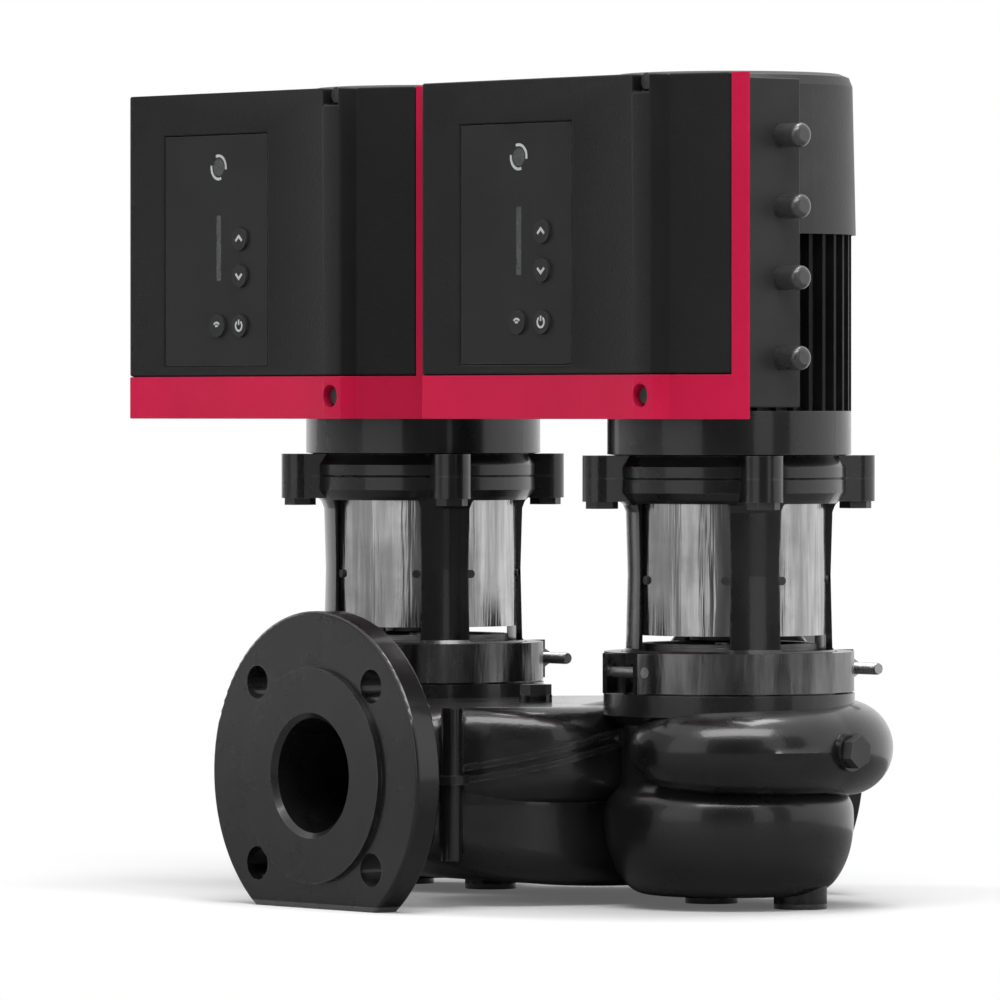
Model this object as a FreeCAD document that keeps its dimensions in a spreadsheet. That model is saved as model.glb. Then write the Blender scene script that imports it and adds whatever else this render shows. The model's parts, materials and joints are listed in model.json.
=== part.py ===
import FreeCAD, Part
import Sketcher
import math
import os
import re

# Twin-head in-line circulation pump: two vertical motors with control boxes stand on one cast housing.
# Frame: X runs through both motor axes, Y is the flow axis, Z is up and the floor is at zero.
# Water enters at the port on +Y and leaves at the port on -Y.

VECTOR = FreeCAD.Vector
UP = VECTOR(0, 0, 1)

document = FreeCAD.newDocument("TwinPump")
sheet = document.addObject("Spreadsheet::Sheet", "sizes")

# Every driving dimension in millimetres or degrees, each written once.
DRIVING_SIZES = [
    ("head_pitch", 273.0),
    ("port_height", 75.0),
    ("outlet_reach", 194.0),
    ("inlet_reach", 146.0),
    ("flange_radius", 92.5),
    ("flange_thickness", 17.0),
    ("raised_radius", 61.0),
    ("raised_height", 3.0),
    ("bolt_circle_radius", 72.5),
    ("outlet_hole_radius", 9.5),
    ("inlet_hole_radius", 9.7),
    ("port_radius", 32.5),
    ("port_chamfer", 3.0),
    ("rim_rounding", 2.0),
    ("neck_radius", 45.0),
    ("body_bottom", 11.0),
    ("body_top", 113.0),
    ("body_half_width", 97.0),
    ("gallery_corner", 18.0),
    ("gallery_neck_width", 43.0),
    ("gallery_step", 13.0),
    ("gallery_step_height", 58.0),
    ("outlet_neck_end", 138.0),
    ("outlet_shoulder", 55.0),
    ("inlet_neck_end", 104.0),
    ("inlet_shoulder", 30.0),
    ("column_across", 49.5),
    ("column_along", 131.0),
    ("column_radius", 6.2),
    ("collar_radius", 10.0),
    ("collar_thickness", 5.0),
    ("ridge_height", 3.5),
    ("ridge_width", 3.2),
    ("ridge_spacing", 7.0),
    ("ridge_rise", 24.0),
    ("ridge_slope", 15.0),
    ("knob_radius", 4.5),
    ("knob_along", 49.0),
    ("knob_height", 96.0),
    ("vent_along", 28.0),
    ("vent_radius", 9.5),
    ("vent_rise", 4.0),
    ("bowl_radius", 70.0),
    ("bowl_bottom", 8.0),
    ("bowl_top", 56.0),
    ("casting_wall", 8.0),
    ("foot_radius", 15.0),
    ("foot_spread", 38.0),
    ("foot_offset", 20.0),
    ("foot_hole_radius", 5.0),
    ("foot_hole_depth", 14.0),
    ("volute_height", 90.0),
    ("volute_core_radius", 39.0),
    ("volute_exit_radius", 28.0),
    ("volute_growth_angle", 45.0),
    ("volute_wall", 6.0),
    ("duct_end_height", 80.0),
    ("duct_end_spread", 26.0),
    ("duct_end_reach", 98.0),
    ("duct_turn", 37.0),
    ("boss_travel", 88.0),
    ("boss_reach", 91.0),
    ("boss_radius", 11.0),
    ("tap_radius", 6.5),
    ("tap_depth", 8.0),
    ("plug_head_half_width", 8.0),
    ("plug_head_height", 6.0),
    ("cross_radius", 20.0),
    ("inlet_drop_radius", 26.0),
    ("chamber_radius", 52.0),
    ("eye_radius", 30.0),
    ("shoulder_radius", 71.0),
    ("shoulder_bottom", 109.0),
    ("joint_neck_radius", 60.0),
    ("joint_rim_radius", 66.0),
    ("joint_face", 133.3),
    ("joint_half_height", 11.2),
    ("joint_rim_height", 5.0),
    ("joint_taper_height", 3.0),
    ("cover_flange_radius", 58.0),
    ("cover_flange_thickness", 4.0),
    ("cover_depth", 27.0),
    ("cover_collar_radius", 50.0),
    ("cover_collar_width", 7.0),
    ("cover_collar_height", 16.0),
    ("seal_seat_depth", 20.0),
    ("clamp_radius", 70.6),
    ("clamp_gap", 16.0),
    ("ear_thickness", 4.0),
    ("ear_spacing", 26.0),
    ("ear_reach", 81.0),
    ("clamp_bolt_radius", 3.0),
    ("clamp_bolt_tail", 27.0),
    ("clamp_bolt_head", 2.2),
    ("clamp_head_height", 4.0),
    ("clamp_nut_height", 5.0),
    ("clamp_bolt_rise", 0.7),
    ("part_clearance", 0.3),
    ("running_clearance", 0.05),
    ("impeller_radius", 48.0),
    ("impeller_blades", 6.0),
    ("shroud_thickness", 3.0),
    ("hub_radius", 15.0),
    ("pump_shaft_radius", 8.0),
    ("seal_radius", 18.0),
    ("seal_length", 16.0),
    ("coupling_radius", 22.0),
    ("coupling_bottom", 150.0),
    ("coupling_length", 44.0),
    ("stool_radius", 58.3),
    ("stool_waist_radius", 57.3),
    ("stool_wall", 3.6),
    ("window_bottom", 145.5),
    ("window_top", 228.0),
    ("window_width", 59.0),
    ("guard_bottom", 154.0),
    ("guard_span", 78.0),
    ("guard_thickness", 0.8),
    ("guard_screw_radius", 2.4),
    ("guard_screw_height", 1.4),
    ("guard_screw_drop", 6.0),
    ("stool_top", 242.0),
    ("motor_flange_radius", 65.7),
    ("parting_chamfer", 0.7),
    ("flange_cone_height", 6.0),
    ("flange_cone_width", 4.0),
    ("lug_radius", 11.0),
    ("lug_centre_radius", 74.0),
    ("lug_thickness", 13.0),
    ("lug_turn", 18.8),
    ("flange_bolt_radius", 5.0),
    ("motor_radius", 68.9),
    ("motor_start", 255.6),
    ("stator_bottom", 280.0),
    ("stator_top", 379.0),
    ("stator_core_radius", 62.0),
    ("fin_thickness", 2.4),
    ("fin_count", 40.0),
    ("rotor_radius", 40.0),
    ("air_gap", 0.5),
    ("motor_shaft_radius", 11.0),
    ("bearing_radius", 26.0),
    ("bearing_width", 11.0),
    ("fan_radius", 58.0),
    ("fan_blades", 7.0),
    ("fan_cover_radius", 71.4),
    ("fan_cover_top_radius", 69.5),
    ("fan_cover_top", 469.5),
    ("fan_cover_wall", 2.0),
    ("grille_slots", 24.0),
    ("box_left", 127.6),
    ("box_gap", 21.4),
    ("box_front", 121.0),
    ("box_split", 93.3),
    ("box_rear", 56.0),
    ("box_bottom", 275.5),
    ("box_top", 465.5),
    ("frame_height", 24.5),
    ("frame_strip_width", 9.8),
    ("facet_depth", 26.0),
    ("facet_slope", 0.38),
    ("ridge_flat", 15.0),
    ("ridge_proud", 1.5),
    ("cover_wall", 9.0),
    ("ridge_place", 63.0),
    ("panel_left", 92.0),
    ("panel_right", 5.0),
    ("panel_bottom", 306.0),
    ("panel_top", 441.0),
    ("panel_thickness", 4.4),
    ("panel_recess", 5.0),
    ("button_radius", 6.5),
    ("button_proud", 1.0),
    ("button_travel", 0.8),
    ("light_across", -41.0),
    ("light_eye_height", 422.0),
    ("light_eye_radius", 5.0),
    ("light_bar_bottom", 356.0),
    ("light_bar_length", 38.0),
    ("light_bar_width", 4.0),
    ("light_depth", 1.5),
    ("plug_radius", 6.7),
    ("plug_reach", 17.0),
    ("plug_rounding", 3.5),
    ("plug_depth", 69.0),
    ("plug_top_height", 431.0),
    ("plug_spacing", 39.0),
    ("plug_low_height", 309.0),
    ("screw_head_radius", 4.5),
    ("screw_head_height", 3.5),
    ("screw_recess_radius", 6.5),
    ("screw_low_rise", 13.0),
    ("flap_length", 38.0),
    ("flap_thickness", 4.0),
    ("flap_half_height", 21.0),
    ("flap_pin_radius", 3.0),
    ("flap_hinge_reach", 66.0),
    ("flap_pin_bottom", 30.0),
    ("flap_pin_length", 80.0),
]

ALIASES = [alias for alias, value in DRIVING_SIZES]
# The volutes turn the same way; the right one leaves between the heads, the left one on the outlet side.
HEAD_TURNS = [(1, 180), (-1, 270)]

for row, (alias, value) in enumerate(DRIVING_SIZES, start=1):
    sheet.set("A%d" % row, alias)
    sheet.set("B%d" % row, repr(value))
    sheet.setAlias("B%d" % row, alias)
document.recompute()


def size(alias):
    return float(sheet.get(alias))


# The two boxes stand side by side with a gap, so each one's right edge follows from the pitch of the heads.
BOX_RIGHT = "(head_pitch - box_left - box_gap)"


def box_right():
    return size("head_pitch") - size("box_left") - size("box_gap")


def bound(text):
    # Puts the sheet's name before each alias in an expression.
    return re.sub(r"[a-z_]+", lambda word: "sizes." + word[0] if word[0] in ALIASES else word[0], text)


# Helpers for bodies, sketches and features

def new_body(label, side=0, turn=None):
    body = document.addObject("PartDesign::Body", label)
    body.Label = label
    if side:
        body.setExpression("Placement.Base.x", bound("head_pitch * %d / 2" % side))
    if turn:
        body.setExpression("Placement.Rotation.Angle", bound(turn))
    return body


def new_sketch(body, plane, offset=None):
    sketch = body.newObject("Sketcher::SketchObject", body.Label + "_sketch")
    origin_plane = [part for part in body.Origin.OriginFeatures if part.Role == plane][0]
    sketch.AttachmentSupport = (origin_plane, [""])
    sketch.MapMode = "FlatFace"
    if offset:
        sketch.setExpression("AttachmentOffset.Base.z", bound(offset))
    return sketch


def tie_point(sketch, geometry, corner, place):
    # Ties one point to its two expressions, or to the axis where the expression is zero.
    for kind, axis, text in (("DistanceX", -2, place[0]), ("DistanceY", -1, place[1])):
        if text == "0":
            sketch.addConstraint(Sketcher.Constraint("PointOnObject", geometry, corner, axis))
        else:
            value = sketch.evalExpression(bound(text))
            index = sketch.addConstraint(Sketcher.Constraint(kind, -1, 1, geometry, corner, float(value)))
            sketch.setExpression("Constraints[%d]" % index, bound(text))


def add_outline(sketch, corners):
    # Closed outline of straight sides; each corner is a pair of expressions.
    places = [[float(sketch.evalExpression(bound(text))) for text in corner] for corner in corners]
    first = sketch.GeometryCount
    count = len(corners)
    for index in range(count):
        start = VECTOR(places[index][0], places[index][1], 0)
        end_place = places[(index + 1) % count]
        sketch.addGeometry(Part.LineSegment(start, VECTOR(end_place[0], end_place[1], 0)), False)
    for index in range(count):
        following = first + (index + 1) % count
        sketch.addConstraint(Sketcher.Constraint("Coincident", first + index, 2, following, 1))
    for index, corner in enumerate(corners):
        tie_point(sketch, first + index, 1, corner)


def add_circle(sketch, across, up, radius):
    centre = VECTOR(*[float(sketch.evalExpression(bound(text))) for text in (across, up)], 0)
    value = float(sketch.evalExpression(bound(radius)))
    geometry = sketch.addGeometry(Part.Circle(centre, VECTOR(0, 0, 1), value), False)
    tie_point(sketch, geometry, 3, (across, up))
    index = sketch.addConstraint(Sketcher.Constraint("Radius", geometry, value))
    sketch.setExpression("Constraints[%d]" % index, bound(radius))


def add_box_outline(sketch, left, right, bottom, top):
    add_outline(sketch, [(left, bottom), (right, bottom), (right, top), (left, top)])


def add_feature(body, kind, sketch, **settings):
    feature = body.newObject("PartDesign::" + kind, body.Label + "_" + kind.lower())
    feature.Profile = sketch
    for name, value in settings.items():
        if isinstance(value, str):
            feature.setExpression(name, bound(value))
        else:
            setattr(feature, name, value)
    return feature


def pad(body, sketch, length, **settings):
    return add_feature(body, "Pad", sketch, Length=length, **settings)


def pocket(body, sketch, length, **settings):
    return add_feature(body, "Pocket", sketch, Length=length, **settings)


def revolve(body, corners, kind="Revolution"):
    # Turns an outline of radius and height pairs about the upright axis.
    sketch = new_sketch(body, "XZ_Plane")
    add_outline(sketch, corners)
    feature = add_feature(body, kind, sketch, Angle=360.0)
    feature.ReferenceAxis = (sketch, ["V_Axis"])
    return feature


def ring(body, inner, outer, bottom, top):
    return revolve(body, [(inner, bottom), (outer, bottom), (outer, top), (inner, top)])


def repeat_around(body, feature, count):
    pattern = body.newObject("PartDesign::PolarPattern", body.Label + "_pattern")
    pattern.Originals = [feature]
    pattern.Axis = (feature.Profile[0], ["N_Axis"])
    pattern.Angle = 360
    pattern.setExpression("Occurrences", bound(count))
    body.Tip = pattern
    return pattern


def set_shape(label, shape, side=0):
    piece = document.addObject("Part::Feature", label)
    piece.Label = label
    piece.Shape = shape
    piece.Placement = FreeCAD.Placement(VECTOR(side * size("head_pitch") / 2, 0, 0), FreeCAD.Rotation())
    return piece


# Housing: one iron casting

def rounded_section(along, bottom, top, half_width, corner):
    # Upright rectangle with round corners, square to the flow axis.
    inner = half_width - corner
    points = [(-inner, bottom), (inner, bottom), (half_width, bottom + corner), (half_width, top - corner),
              (inner, top), (-inner, top), (-half_width, top - corner), (-half_width, bottom + corner)]
    bend = corner * (1 - math.sqrt(0.5))
    middles = [(half_width - bend, bottom + bend), (half_width - bend, top - bend),
               (bend - half_width, top - bend), (bend - half_width, bottom + bend)]
    spots = [VECTOR(across, along, height) for across, height in points]
    edges = []
    for index, (across, height) in enumerate(middles):
        start, turn_in = spots[2 * index], spots[2 * index + 1]
        turn_out = spots[(2 * index + 2) % 8]
        edges.append(Part.makeLine(start, turn_in))
        edges.append(Part.Arc(turn_in, VECTOR(across, along, height), turn_out).toShape())
    return Part.Wire(edges)


# The casting reaches this far below the round necks of the flanges, and the necks this far into the casting.
NECK_DROP = 3
NECK_SINK = 12
# Sections of the loft between a neck and the full width, as shares of the way.
GALLERY_SHARES = (0, 0.33, 0.66, 1)


def neck_bottom():
    return size("port_height") - size("neck_radius") - NECK_DROP


def gallery(bottom, top, half_width, corner, growth=0.0):
    # Casting swells by a quarter sine from the flange neck to its full width, on both sides.
    neck_width = size("gallery_neck_width")
    neck_low = max(neck_bottom(), bottom)
    sections = []
    for direction, neck_end, full_end in ((-1, size("outlet_neck_end"), size("outlet_shoulder")),
                                          (1, size("inlet_neck_end"), size("inlet_shoulder"))):
        side = []
        for share in GALLERY_SHARES:
            blend = math.sin(math.radians(90 * share))
            along = direction * (neck_end + (full_end - neck_end) * share)
            width = neck_width + (half_width - neck_width) * blend
            low = neck_low + (bottom - neck_low) * blend
            side.append(rounded_section(along, low - growth, top + growth, width + growth, corner))
        sections += side[::direction * -1]
    return Part.makeLoft(sections[::-1], True)


def upper_gallery(growth=0.0):
    # Discharge side under the flat roof.
    corner = size("gallery_corner")
    return gallery(size("gallery_step_height"), size("body_top"), size("body_half_width"), corner, growth)


def lower_gallery():
    # Suction side, narrower and close to the floor.
    half_width = size("body_half_width") - size("gallery_step")
    return gallery(size("body_bottom"), size("gallery_step_height") + size("gallery_corner"), half_width,
                   size("gallery_corner"))


def necks():
    # Straight round necks behind both flanges.
    # They end just short of the flange faces.
    face_depth = size("raised_height") + 1
    outlet_length = size("outlet_reach") - face_depth - size("outlet_neck_end") + NECK_SINK
    inlet_length = size("inlet_reach") - face_depth - size("inlet_neck_end") + NECK_SINK
    outlet_start = VECTOR(0, NECK_SINK - size("outlet_neck_end"), size("port_height"))
    inlet_start = VECTOR(0, size("inlet_neck_end") - NECK_SINK, size("port_height"))
    return [Part.makeCylinder(size("neck_radius"), outlet_length, outlet_start, VECTOR(0, -1, 0)),
            Part.makeCylinder(size("neck_radius"), inlet_length, inlet_start, VECTOR(0, 1, 0))]


def columns():
    # Upright half-round ribs at the outlet neck, each with a flat collar.
    solids = []
    bottom = neck_bottom()
    for side in (-1, 1):
        place = VECTOR(side * size("column_across"), -size("column_along"), bottom)
        solids.append(Part.makeCylinder(size("column_radius"), size("body_top") - bottom, place, UP))
        place.z = size("port_height") - size("collar_thickness")
        solids.append(Part.makeCylinder(size("collar_radius"), size("collar_thickness"), place, UP))
    return solids


def port_flange(direction, reach):
    face = direction * (reach - size("raised_height"))
    centre = VECTOR(0, face, size("port_height"))
    back = VECTOR(0, -direction, 0)
    rim = Part.makeCylinder(size("flange_radius"), size("flange_thickness"), centre, back)
    rim = rim.makeFillet(size("rim_rounding"), [edge for edge in rim.Edges if len(edge.Vertexes) == 1])
    raised_base = VECTOR(0, direction * reach, size("port_height"))
    raised = Part.makeCylinder(size("raised_radius"), size("raised_height") + 1, raised_base, back)
    return rim.fuse(raised)


def port_cuts(direction, reach, hole_radius):
    face = VECTOR(0, direction * (reach + 1), size("port_height"))
    back = VECTOR(0, -direction, 0)
    depth = size("raised_height") + size("flange_thickness") + 2
    lip = size("port_chamfer")
    cuts = [Part.makeCone(size("port_radius") + lip + 1, size("port_radius"), lip + 1, face, back)]
    for quarter in range(4):
        angle = math.radians(45 + 90 * quarter)
        offset = VECTOR(math.cos(angle), 0, math.sin(angle)) * size("bolt_circle_radius")
        cuts.append(Part.makeCylinder(hole_radius, depth, face + offset, back))
    return cuts


def turned(profile):
    # Solid of revolution about the upright axis from radius and height pairs.
    corners = [VECTOR(radius, 0, height) for radius, height in profile]
    face = Part.Face(Part.makePolygon(corners + corners[:1]))
    return face.revolve(VECTOR(0, 0, 0), UP, 360)


# Round underside of the suction bowl: shares of its radius and how far each lies above its bottom.
BOWL_CURVE = [(0.68, 0), (0.85, 7), (0.95, 20), (1, 38)]
CAVITY_CURVE = [(0.8, 0), (0.95, 10), (1, 20)]


def bowl_curve(curve, radius, bottom):
    return [(radius * share, bottom + rise) for share, rise in curve]


def head_casting():
    # Suction bowl, impeller chamber wall, shoulder and the coned rim that the clamp grips.
    bowl = size("bowl_radius")
    wall_radius = size("chamber_radius") + size("casting_wall")
    neck = size("joint_neck_radius")
    rim = size("joint_rim_radius")
    face = size("joint_face")
    bottom = size("bowl_bottom")
    return turned([(0, bottom)] + bowl_curve(BOWL_CURVE, bowl, bottom) + [
        (bowl, size("bowl_top")), (bowl * 0.95, size("bowl_top") + 6),
        (wall_radius, size("bowl_top") + 14), (wall_radius, size("shoulder_bottom") - 6),
        (size("shoulder_radius"), size("shoulder_bottom")),
        (size("shoulder_radius"), face - size("joint_half_height") - 1),
        (neck, face - size("joint_half_height") - 1),
        (neck, face - size("joint_rim_height") - size("joint_taper_height")),
        (rim, face - size("joint_rim_height")), (rim, face), (0, face)])


def head_cavity():
    inner = size("bowl_radius") - size("casting_wall") - 2
    floor = size("bowl_bottom") + size("casting_wall")
    top = size("bowl_top")
    eye = size("eye_radius")
    chamber = size("chamber_radius")
    cover_seat = size("joint_face") - size("cover_flange_thickness")
    chamber_floor = top + 12
    return turned([(0, floor)] + bowl_curve(CAVITY_CURVE, inner, floor) + [
        (inner, top), (eye, top), (eye, chamber_floor), (chamber, chamber_floor), (chamber, cover_seat),
        (size("cover_flange_radius"), cover_seat), (size("cover_flange_radius"), size("joint_face") + 1),
        (0, size("joint_face") + 1)])


def round_section(centre, heading, radius):
    # Circle square to a level heading, always started on the same side.
    circle = Part.makeCircle(radius, VECTOR(0, 0, 0), VECTOR(0, 1, 0))
    circle.rotate(VECTOR(0, 0, 0), UP, heading - 90)
    circle.translate(centre)
    return Part.Wire([circle])


# Each spiral turns this many degrees before its duct leaves; its sections start at a narrow tongue.
VOLUTE_TRAVEL = 260
VOLUTE_STATIONS = range(20, VOLUTE_TRAVEL + 1, 40)


def volute_passage(side, exit_angle, inset):
    # Spiral whose tube grows to its full radius, then a duct that bends to the outlet chamber.
    head = VECTOR(side * size("head_pitch") / 2, 0, size("volute_height"))
    sections = []
    for travelled in VOLUTE_STATIONS:
        growth = 1 - math.exp(-travelled / size("volute_growth_angle"))
        tube = size("volute_exit_radius") * growth
        angle = math.radians(exit_angle - VOLUTE_TRAVEL + travelled)
        centre = head + VECTOR(math.cos(angle), math.sin(angle), 0) * (size("volute_core_radius") + tube)
        sections.append(round_section(centre, math.degrees(angle) + 90, tube - inset))
    start = centre
    drop = VECTOR(0, 0, size("duct_end_height") - size("volute_height"))
    end = VECTOR(side * size("duct_end_spread"), -size("duct_end_reach"), size("duct_end_height"))
    first = VECTOR(-math.sin(angle), math.cos(angle), 0)
    turn = math.radians(size("duct_turn"))
    last = VECTOR(-side * math.sin(turn), -math.cos(turn), 0)
    # The bend is a parabola whose middle point is where both headings meet.
    gap = end - start
    along = (gap.x * last.y - gap.y * last.x) / (first.x * last.y - first.y * last.x)
    corner = start + first * along + drop * 0.5
    for share in (0.5, 1.0):
        centre = start * (1 - share) ** 2 + corner * (2 * share * (1 - share)) + end * share ** 2
        way = (corner - start) * (1 - share) + (end - corner) * share
        heading = math.degrees(math.atan2(way.y, way.x))
        sections.append(round_section(centre, heading, size("volute_exit_radius") - inset))
    return Part.makeLoft(sections, True)


def ridges():
    # Two close ridges climb along each side of the body from the collar to the pump head.
    skin = upper_gallery(size("ridge_height"))
    length = size("column_along") - size("outlet_shoulder") + 14
    slabs = []
    for rise in (size("ridge_rise"), size("ridge_rise") - size("ridge_spacing")):
        slab = Part.makeBox(4 * size("body_half_width"), length, size("ridge_width"))
        slab.translate(VECTOR(-2 * size("body_half_width"), -length, 0))
        slab.rotate(VECTOR(0, 0, 0), VECTOR(1, 0, 0), size("ridge_slope"))
        slab.translate(VECTOR(0, -size("outlet_shoulder") + 10, size("port_height") + rise))
        slabs.append(skin.common(slab))
    return slabs


def knobs():
    # Rounded ends of the ridges beside the pump heads.
    across = size("body_half_width")
    places = [VECTOR(side * across, -size("knob_along"), size("knob_height")) for side in (-1, 1)]
    return [Part.makeSphere(size("knob_radius"), place) for place in places]


def foot_places():
    places = []
    for side in (-1, 1):
        for lean in (-1, 1):
            across = side * size("head_pitch") / 2 + lean * size("foot_spread")
            places.append(VECTOR(across, size("foot_offset"), 0))
    return places


BOSS_LENGTH = 25


def boss_place(side, exit_angle):
    # The tapped boss sits part of the way round the volute.
    angle = math.radians(exit_angle - VOLUTE_TRAVEL + size("boss_travel"))
    outward = VECTOR(math.cos(angle), math.sin(angle), 0)
    centre = VECTOR(side * size("head_pitch") / 2, 0, size("volute_height"))
    return centre, outward


def water_passages():
    # Outlet chamber, inlet bore, its drop to the suction side and the cross passage under both impellers.
    port = size("port_radius")
    height = size("port_height")
    low = size("bowl_top") - size("cross_radius")
    # The inlet bore ends in a ball, and the drop to the suction side starts beside it.
    bore_end = 95
    drop_start = VECTOR(0, 100, height)
    behind_flap = 8
    outlet_start = VECTOR(0, -size("outlet_reach") - 1, height)
    inlet_start = VECTOR(0, size("inlet_reach") + 1, height)
    chamber_length = size("outlet_reach") + 1 - size("flap_hinge_reach") + behind_flap
    inlet_length = size("inlet_reach") + 1 - bore_end
    drop_end = VECTOR(0, size("foot_offset"), low)
    cross_start = VECTOR(-size("head_pitch") / 2, size("foot_offset"), low)
    return [
        Part.makeCylinder(port, chamber_length, outlet_start, VECTOR(0, 1, 0)),
        Part.makeCylinder(port, inlet_length, inlet_start, VECTOR(0, -1, 0)),
        Part.makeSphere(port, VECTOR(0, bore_end, height)),
        Part.makeCylinder(size("inlet_drop_radius"), drop_start.distanceToPoint(drop_end), drop_start,
                          drop_end - drop_start),
        Part.makeCylinder(size("cross_radius"), size("head_pitch"), cross_start, VECTOR(1, 0, 0))]


def vent_boss():
    # Boss on the roof for the air vent plug.
    sink = 10
    base = VECTOR(0, -size("vent_along"), size("body_top") - sink)
    return Part.makeCylinder(size("vent_radius"), sink + size("vent_rise"), base, UP)


def pump_housing():
    solids = [upper_gallery(), lower_gallery()] + necks() + columns() + ridges() + knobs()
    solids.append(vent_boss())
    solids += [port_flange(-1, size("outlet_reach")), port_flange(1, size("inlet_reach"))]
    cuts = port_cuts(-1, size("outlet_reach"), size("outlet_hole_radius"))
    cuts += port_cuts(1, size("inlet_reach"), size("inlet_hole_radius"))
    for side, exit_angle in HEAD_TURNS:
        shift = VECTOR(side * size("head_pitch") / 2, 0, 0)
        casting = head_casting()
        casting.translate(shift)
        cavity = head_cavity()
        cavity.translate(shift)
        centre, outward = boss_place(side, exit_angle)
        boss_start = centre + outward * (size("boss_reach") - BOSS_LENGTH)
        boss = Part.makeCylinder(size("boss_radius"), BOSS_LENGTH, boss_start, outward)
        hole_start = centre + outward * (size("boss_reach") + 1)
        hole = Part.makeCylinder(size("tap_radius"), size("tap_depth") + 1, hole_start, outward * -1)
        solids += [casting, volute_passage(side, exit_angle, 0.0), boss]
        cuts += [cavity, volute_passage(side, exit_angle, size("volute_wall")), hole]
    for place in foot_places():
        solids.append(Part.makeCylinder(size("foot_radius"), size("bowl_bottom") + 12, place, UP))
        cuts.append(Part.makeCylinder(size("foot_hole_radius"), size("foot_hole_depth"), place, UP))
    cuts += water_passages()
    vent_top = VECTOR(0, -size("vent_along"), size("body_top") + size("vent_rise"))
    cuts.append(Part.makeCylinder(size("tap_radius"), size("tap_depth"), vent_top, UP * -1))
    pin_bottom = VECTOR(0, -size("flap_hinge_reach"), size("flap_pin_bottom"))
    cuts.append(Part.makeCylinder(size("flap_pin_radius"), size("flap_pin_length"), pin_bottom, UP))
    # Nothing reaches below the floor.
    wide = 1000
    deep = 100
    cuts.append(Part.makeBox(wide, wide, deep, VECTOR(-wide / 2, -wide / 2, -deep)))
    # One joint or cut at a time keeps the casting a sound solid.
    casting = solids[0]
    for solid in solids[1:]:
        casting = casting.fuse(solid)
    for cut in cuts:
        casting = casting.cut(cut)
    return set_shape("pump_housing", casting)


# Pump head pieces, each built for the left and the right head

def clamp_ring(name, side):
    # Two half rings whose groove grips both coned rims, with a pair of ears at the front and back.
    body = new_body(name, side)
    centre = "joint_face"
    half = "joint_half_height"
    lip = "joint_neck_radius + 1"
    deep = "joint_rim_radius + part_clearance"
    near = "(joint_rim_height + part_clearance * 2 / 3)"
    far = "(joint_rim_height + joint_taper_height - part_clearance * 2 / 3)"
    revolve(body, [
        (lip, centre + " - " + half), ("clamp_radius", centre + " - " + half),
        ("clamp_radius", centre + " + " + half), (lip, centre + " + " + half), (lip, centre + " + " + far),
        (deep, centre + " + " + near), (deep, centre + " - " + near), (lip, centre + " - " + far)])
    for way in ("", "-"):
        ears = new_sketch(body, "XY_Plane", centre + " - " + half)
        for hand in ("", "-"):
            inner = hand + "(ear_spacing / 2 - ear_thickness / 2)"
            outer = hand + "(ear_spacing / 2 + ear_thickness / 2)"
            root = way + "(joint_rim_radius + 1.5)"
            tip = way + "ear_reach"
            add_outline(ears, [(inner, root), (outer, root), (outer, tip), (inner, tip)])
        pad(body, ears, half + " * 2")
    gap = new_sketch(body, "XZ_Plane")
    add_box_outline(gap, "-clamp_gap / 2", "clamp_gap / 2", centre + " - 20", centre + " + 20")
    pocket(body, gap, "200", Midplane=True)
    holes = new_sketch(body, "YZ_Plane")
    for way in ("", "-"):
        across = way + "(clamp_radius + ear_reach) / 2"
        add_circle(holes, across, "joint_face + clamp_bolt_rise", "clamp_bolt_radius + running_clearance")
    pocket(body, holes, "60", Midplane=True)
    return body


def clamp_bolts():
    # Behind each head a long bolt with a nut and its bare thread tail draws the halves together.
    # In front they turn on a flush pin.
    outer = size("ear_spacing") / 2 + size("ear_thickness") / 2
    shank = size("clamp_bolt_radius")
    head_radius = shank + size("clamp_bolt_head")
    across = VECTOR(1, 0, 0)
    solids = []
    for side in (-1, 1):
        place = VECTOR(side * size("head_pitch") / 2, (size("clamp_radius") + size("ear_reach")) / 2,
                       size("joint_face") + size("clamp_bolt_rise"))
        start = place - across * outer
        head = Part.makeCylinder(head_radius, size("clamp_head_height"), start, across * -1)
        rod = Part.makeCylinder(shank, outer * 2 + size("clamp_bolt_tail"), start, across)
        nut = hexagon(head_radius, size("clamp_nut_height"), place + across * outer, across)
        solids.append(head.fuse(rod).fuse(nut).removeSplitter())
        start.y = -place.y
        solids.append(Part.makeCylinder(shank, outer * 2, start, across))
    return set_shape("clamp_bolts", Part.makeCompound(solids))


def hexagon(half_width, length, place, way):
    # Six-sided bar from its half width across flats.
    corner = half_width / math.cos(math.pi / 6)
    corners = [VECTOR(corner * math.cos(turn), corner * math.sin(turn), 0)
               for turn in [math.radians(60 * step) for step in range(7)]]
    bar = Part.Face(Part.makePolygon(corners[:6] + corners[:1])).extrude(VECTOR(0, 0, length))
    bar.Placement = FreeCAD.Placement(place, FreeCAD.Rotation(UP, way))
    return bar


def head_cover(name, side):
    # Closes the impeller chamber, holds the shaft seal and carries a turned collar inside the stool.
    body = new_body(name, side)
    spigot = "chamber_radius - part_clearance / 3"
    rim = "cover_flange_radius - part_clearance / 3"
    seat = "joint_face - cover_flange_thickness"
    bottom = "joint_face - cover_depth"
    seal_seat = "joint_face - seal_seat_depth"
    shaft_way = "pump_shaft_radius + 2"
    collar = "joint_face + cover_collar_height"
    revolve(body, [
        (shaft_way, bottom), (spigot, bottom), (spigot, seat), (rim, seat), (rim, "joint_face"),
        ("cover_collar_radius", "joint_face"), ("cover_collar_radius", collar),
        ("cover_collar_radius - cover_collar_width", collar),
        ("cover_collar_radius - cover_collar_width", "joint_face"), ("seal_radius", "joint_face"),
        ("seal_radius", seal_seat), (shaft_way, seal_seat)])
    return body


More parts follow.
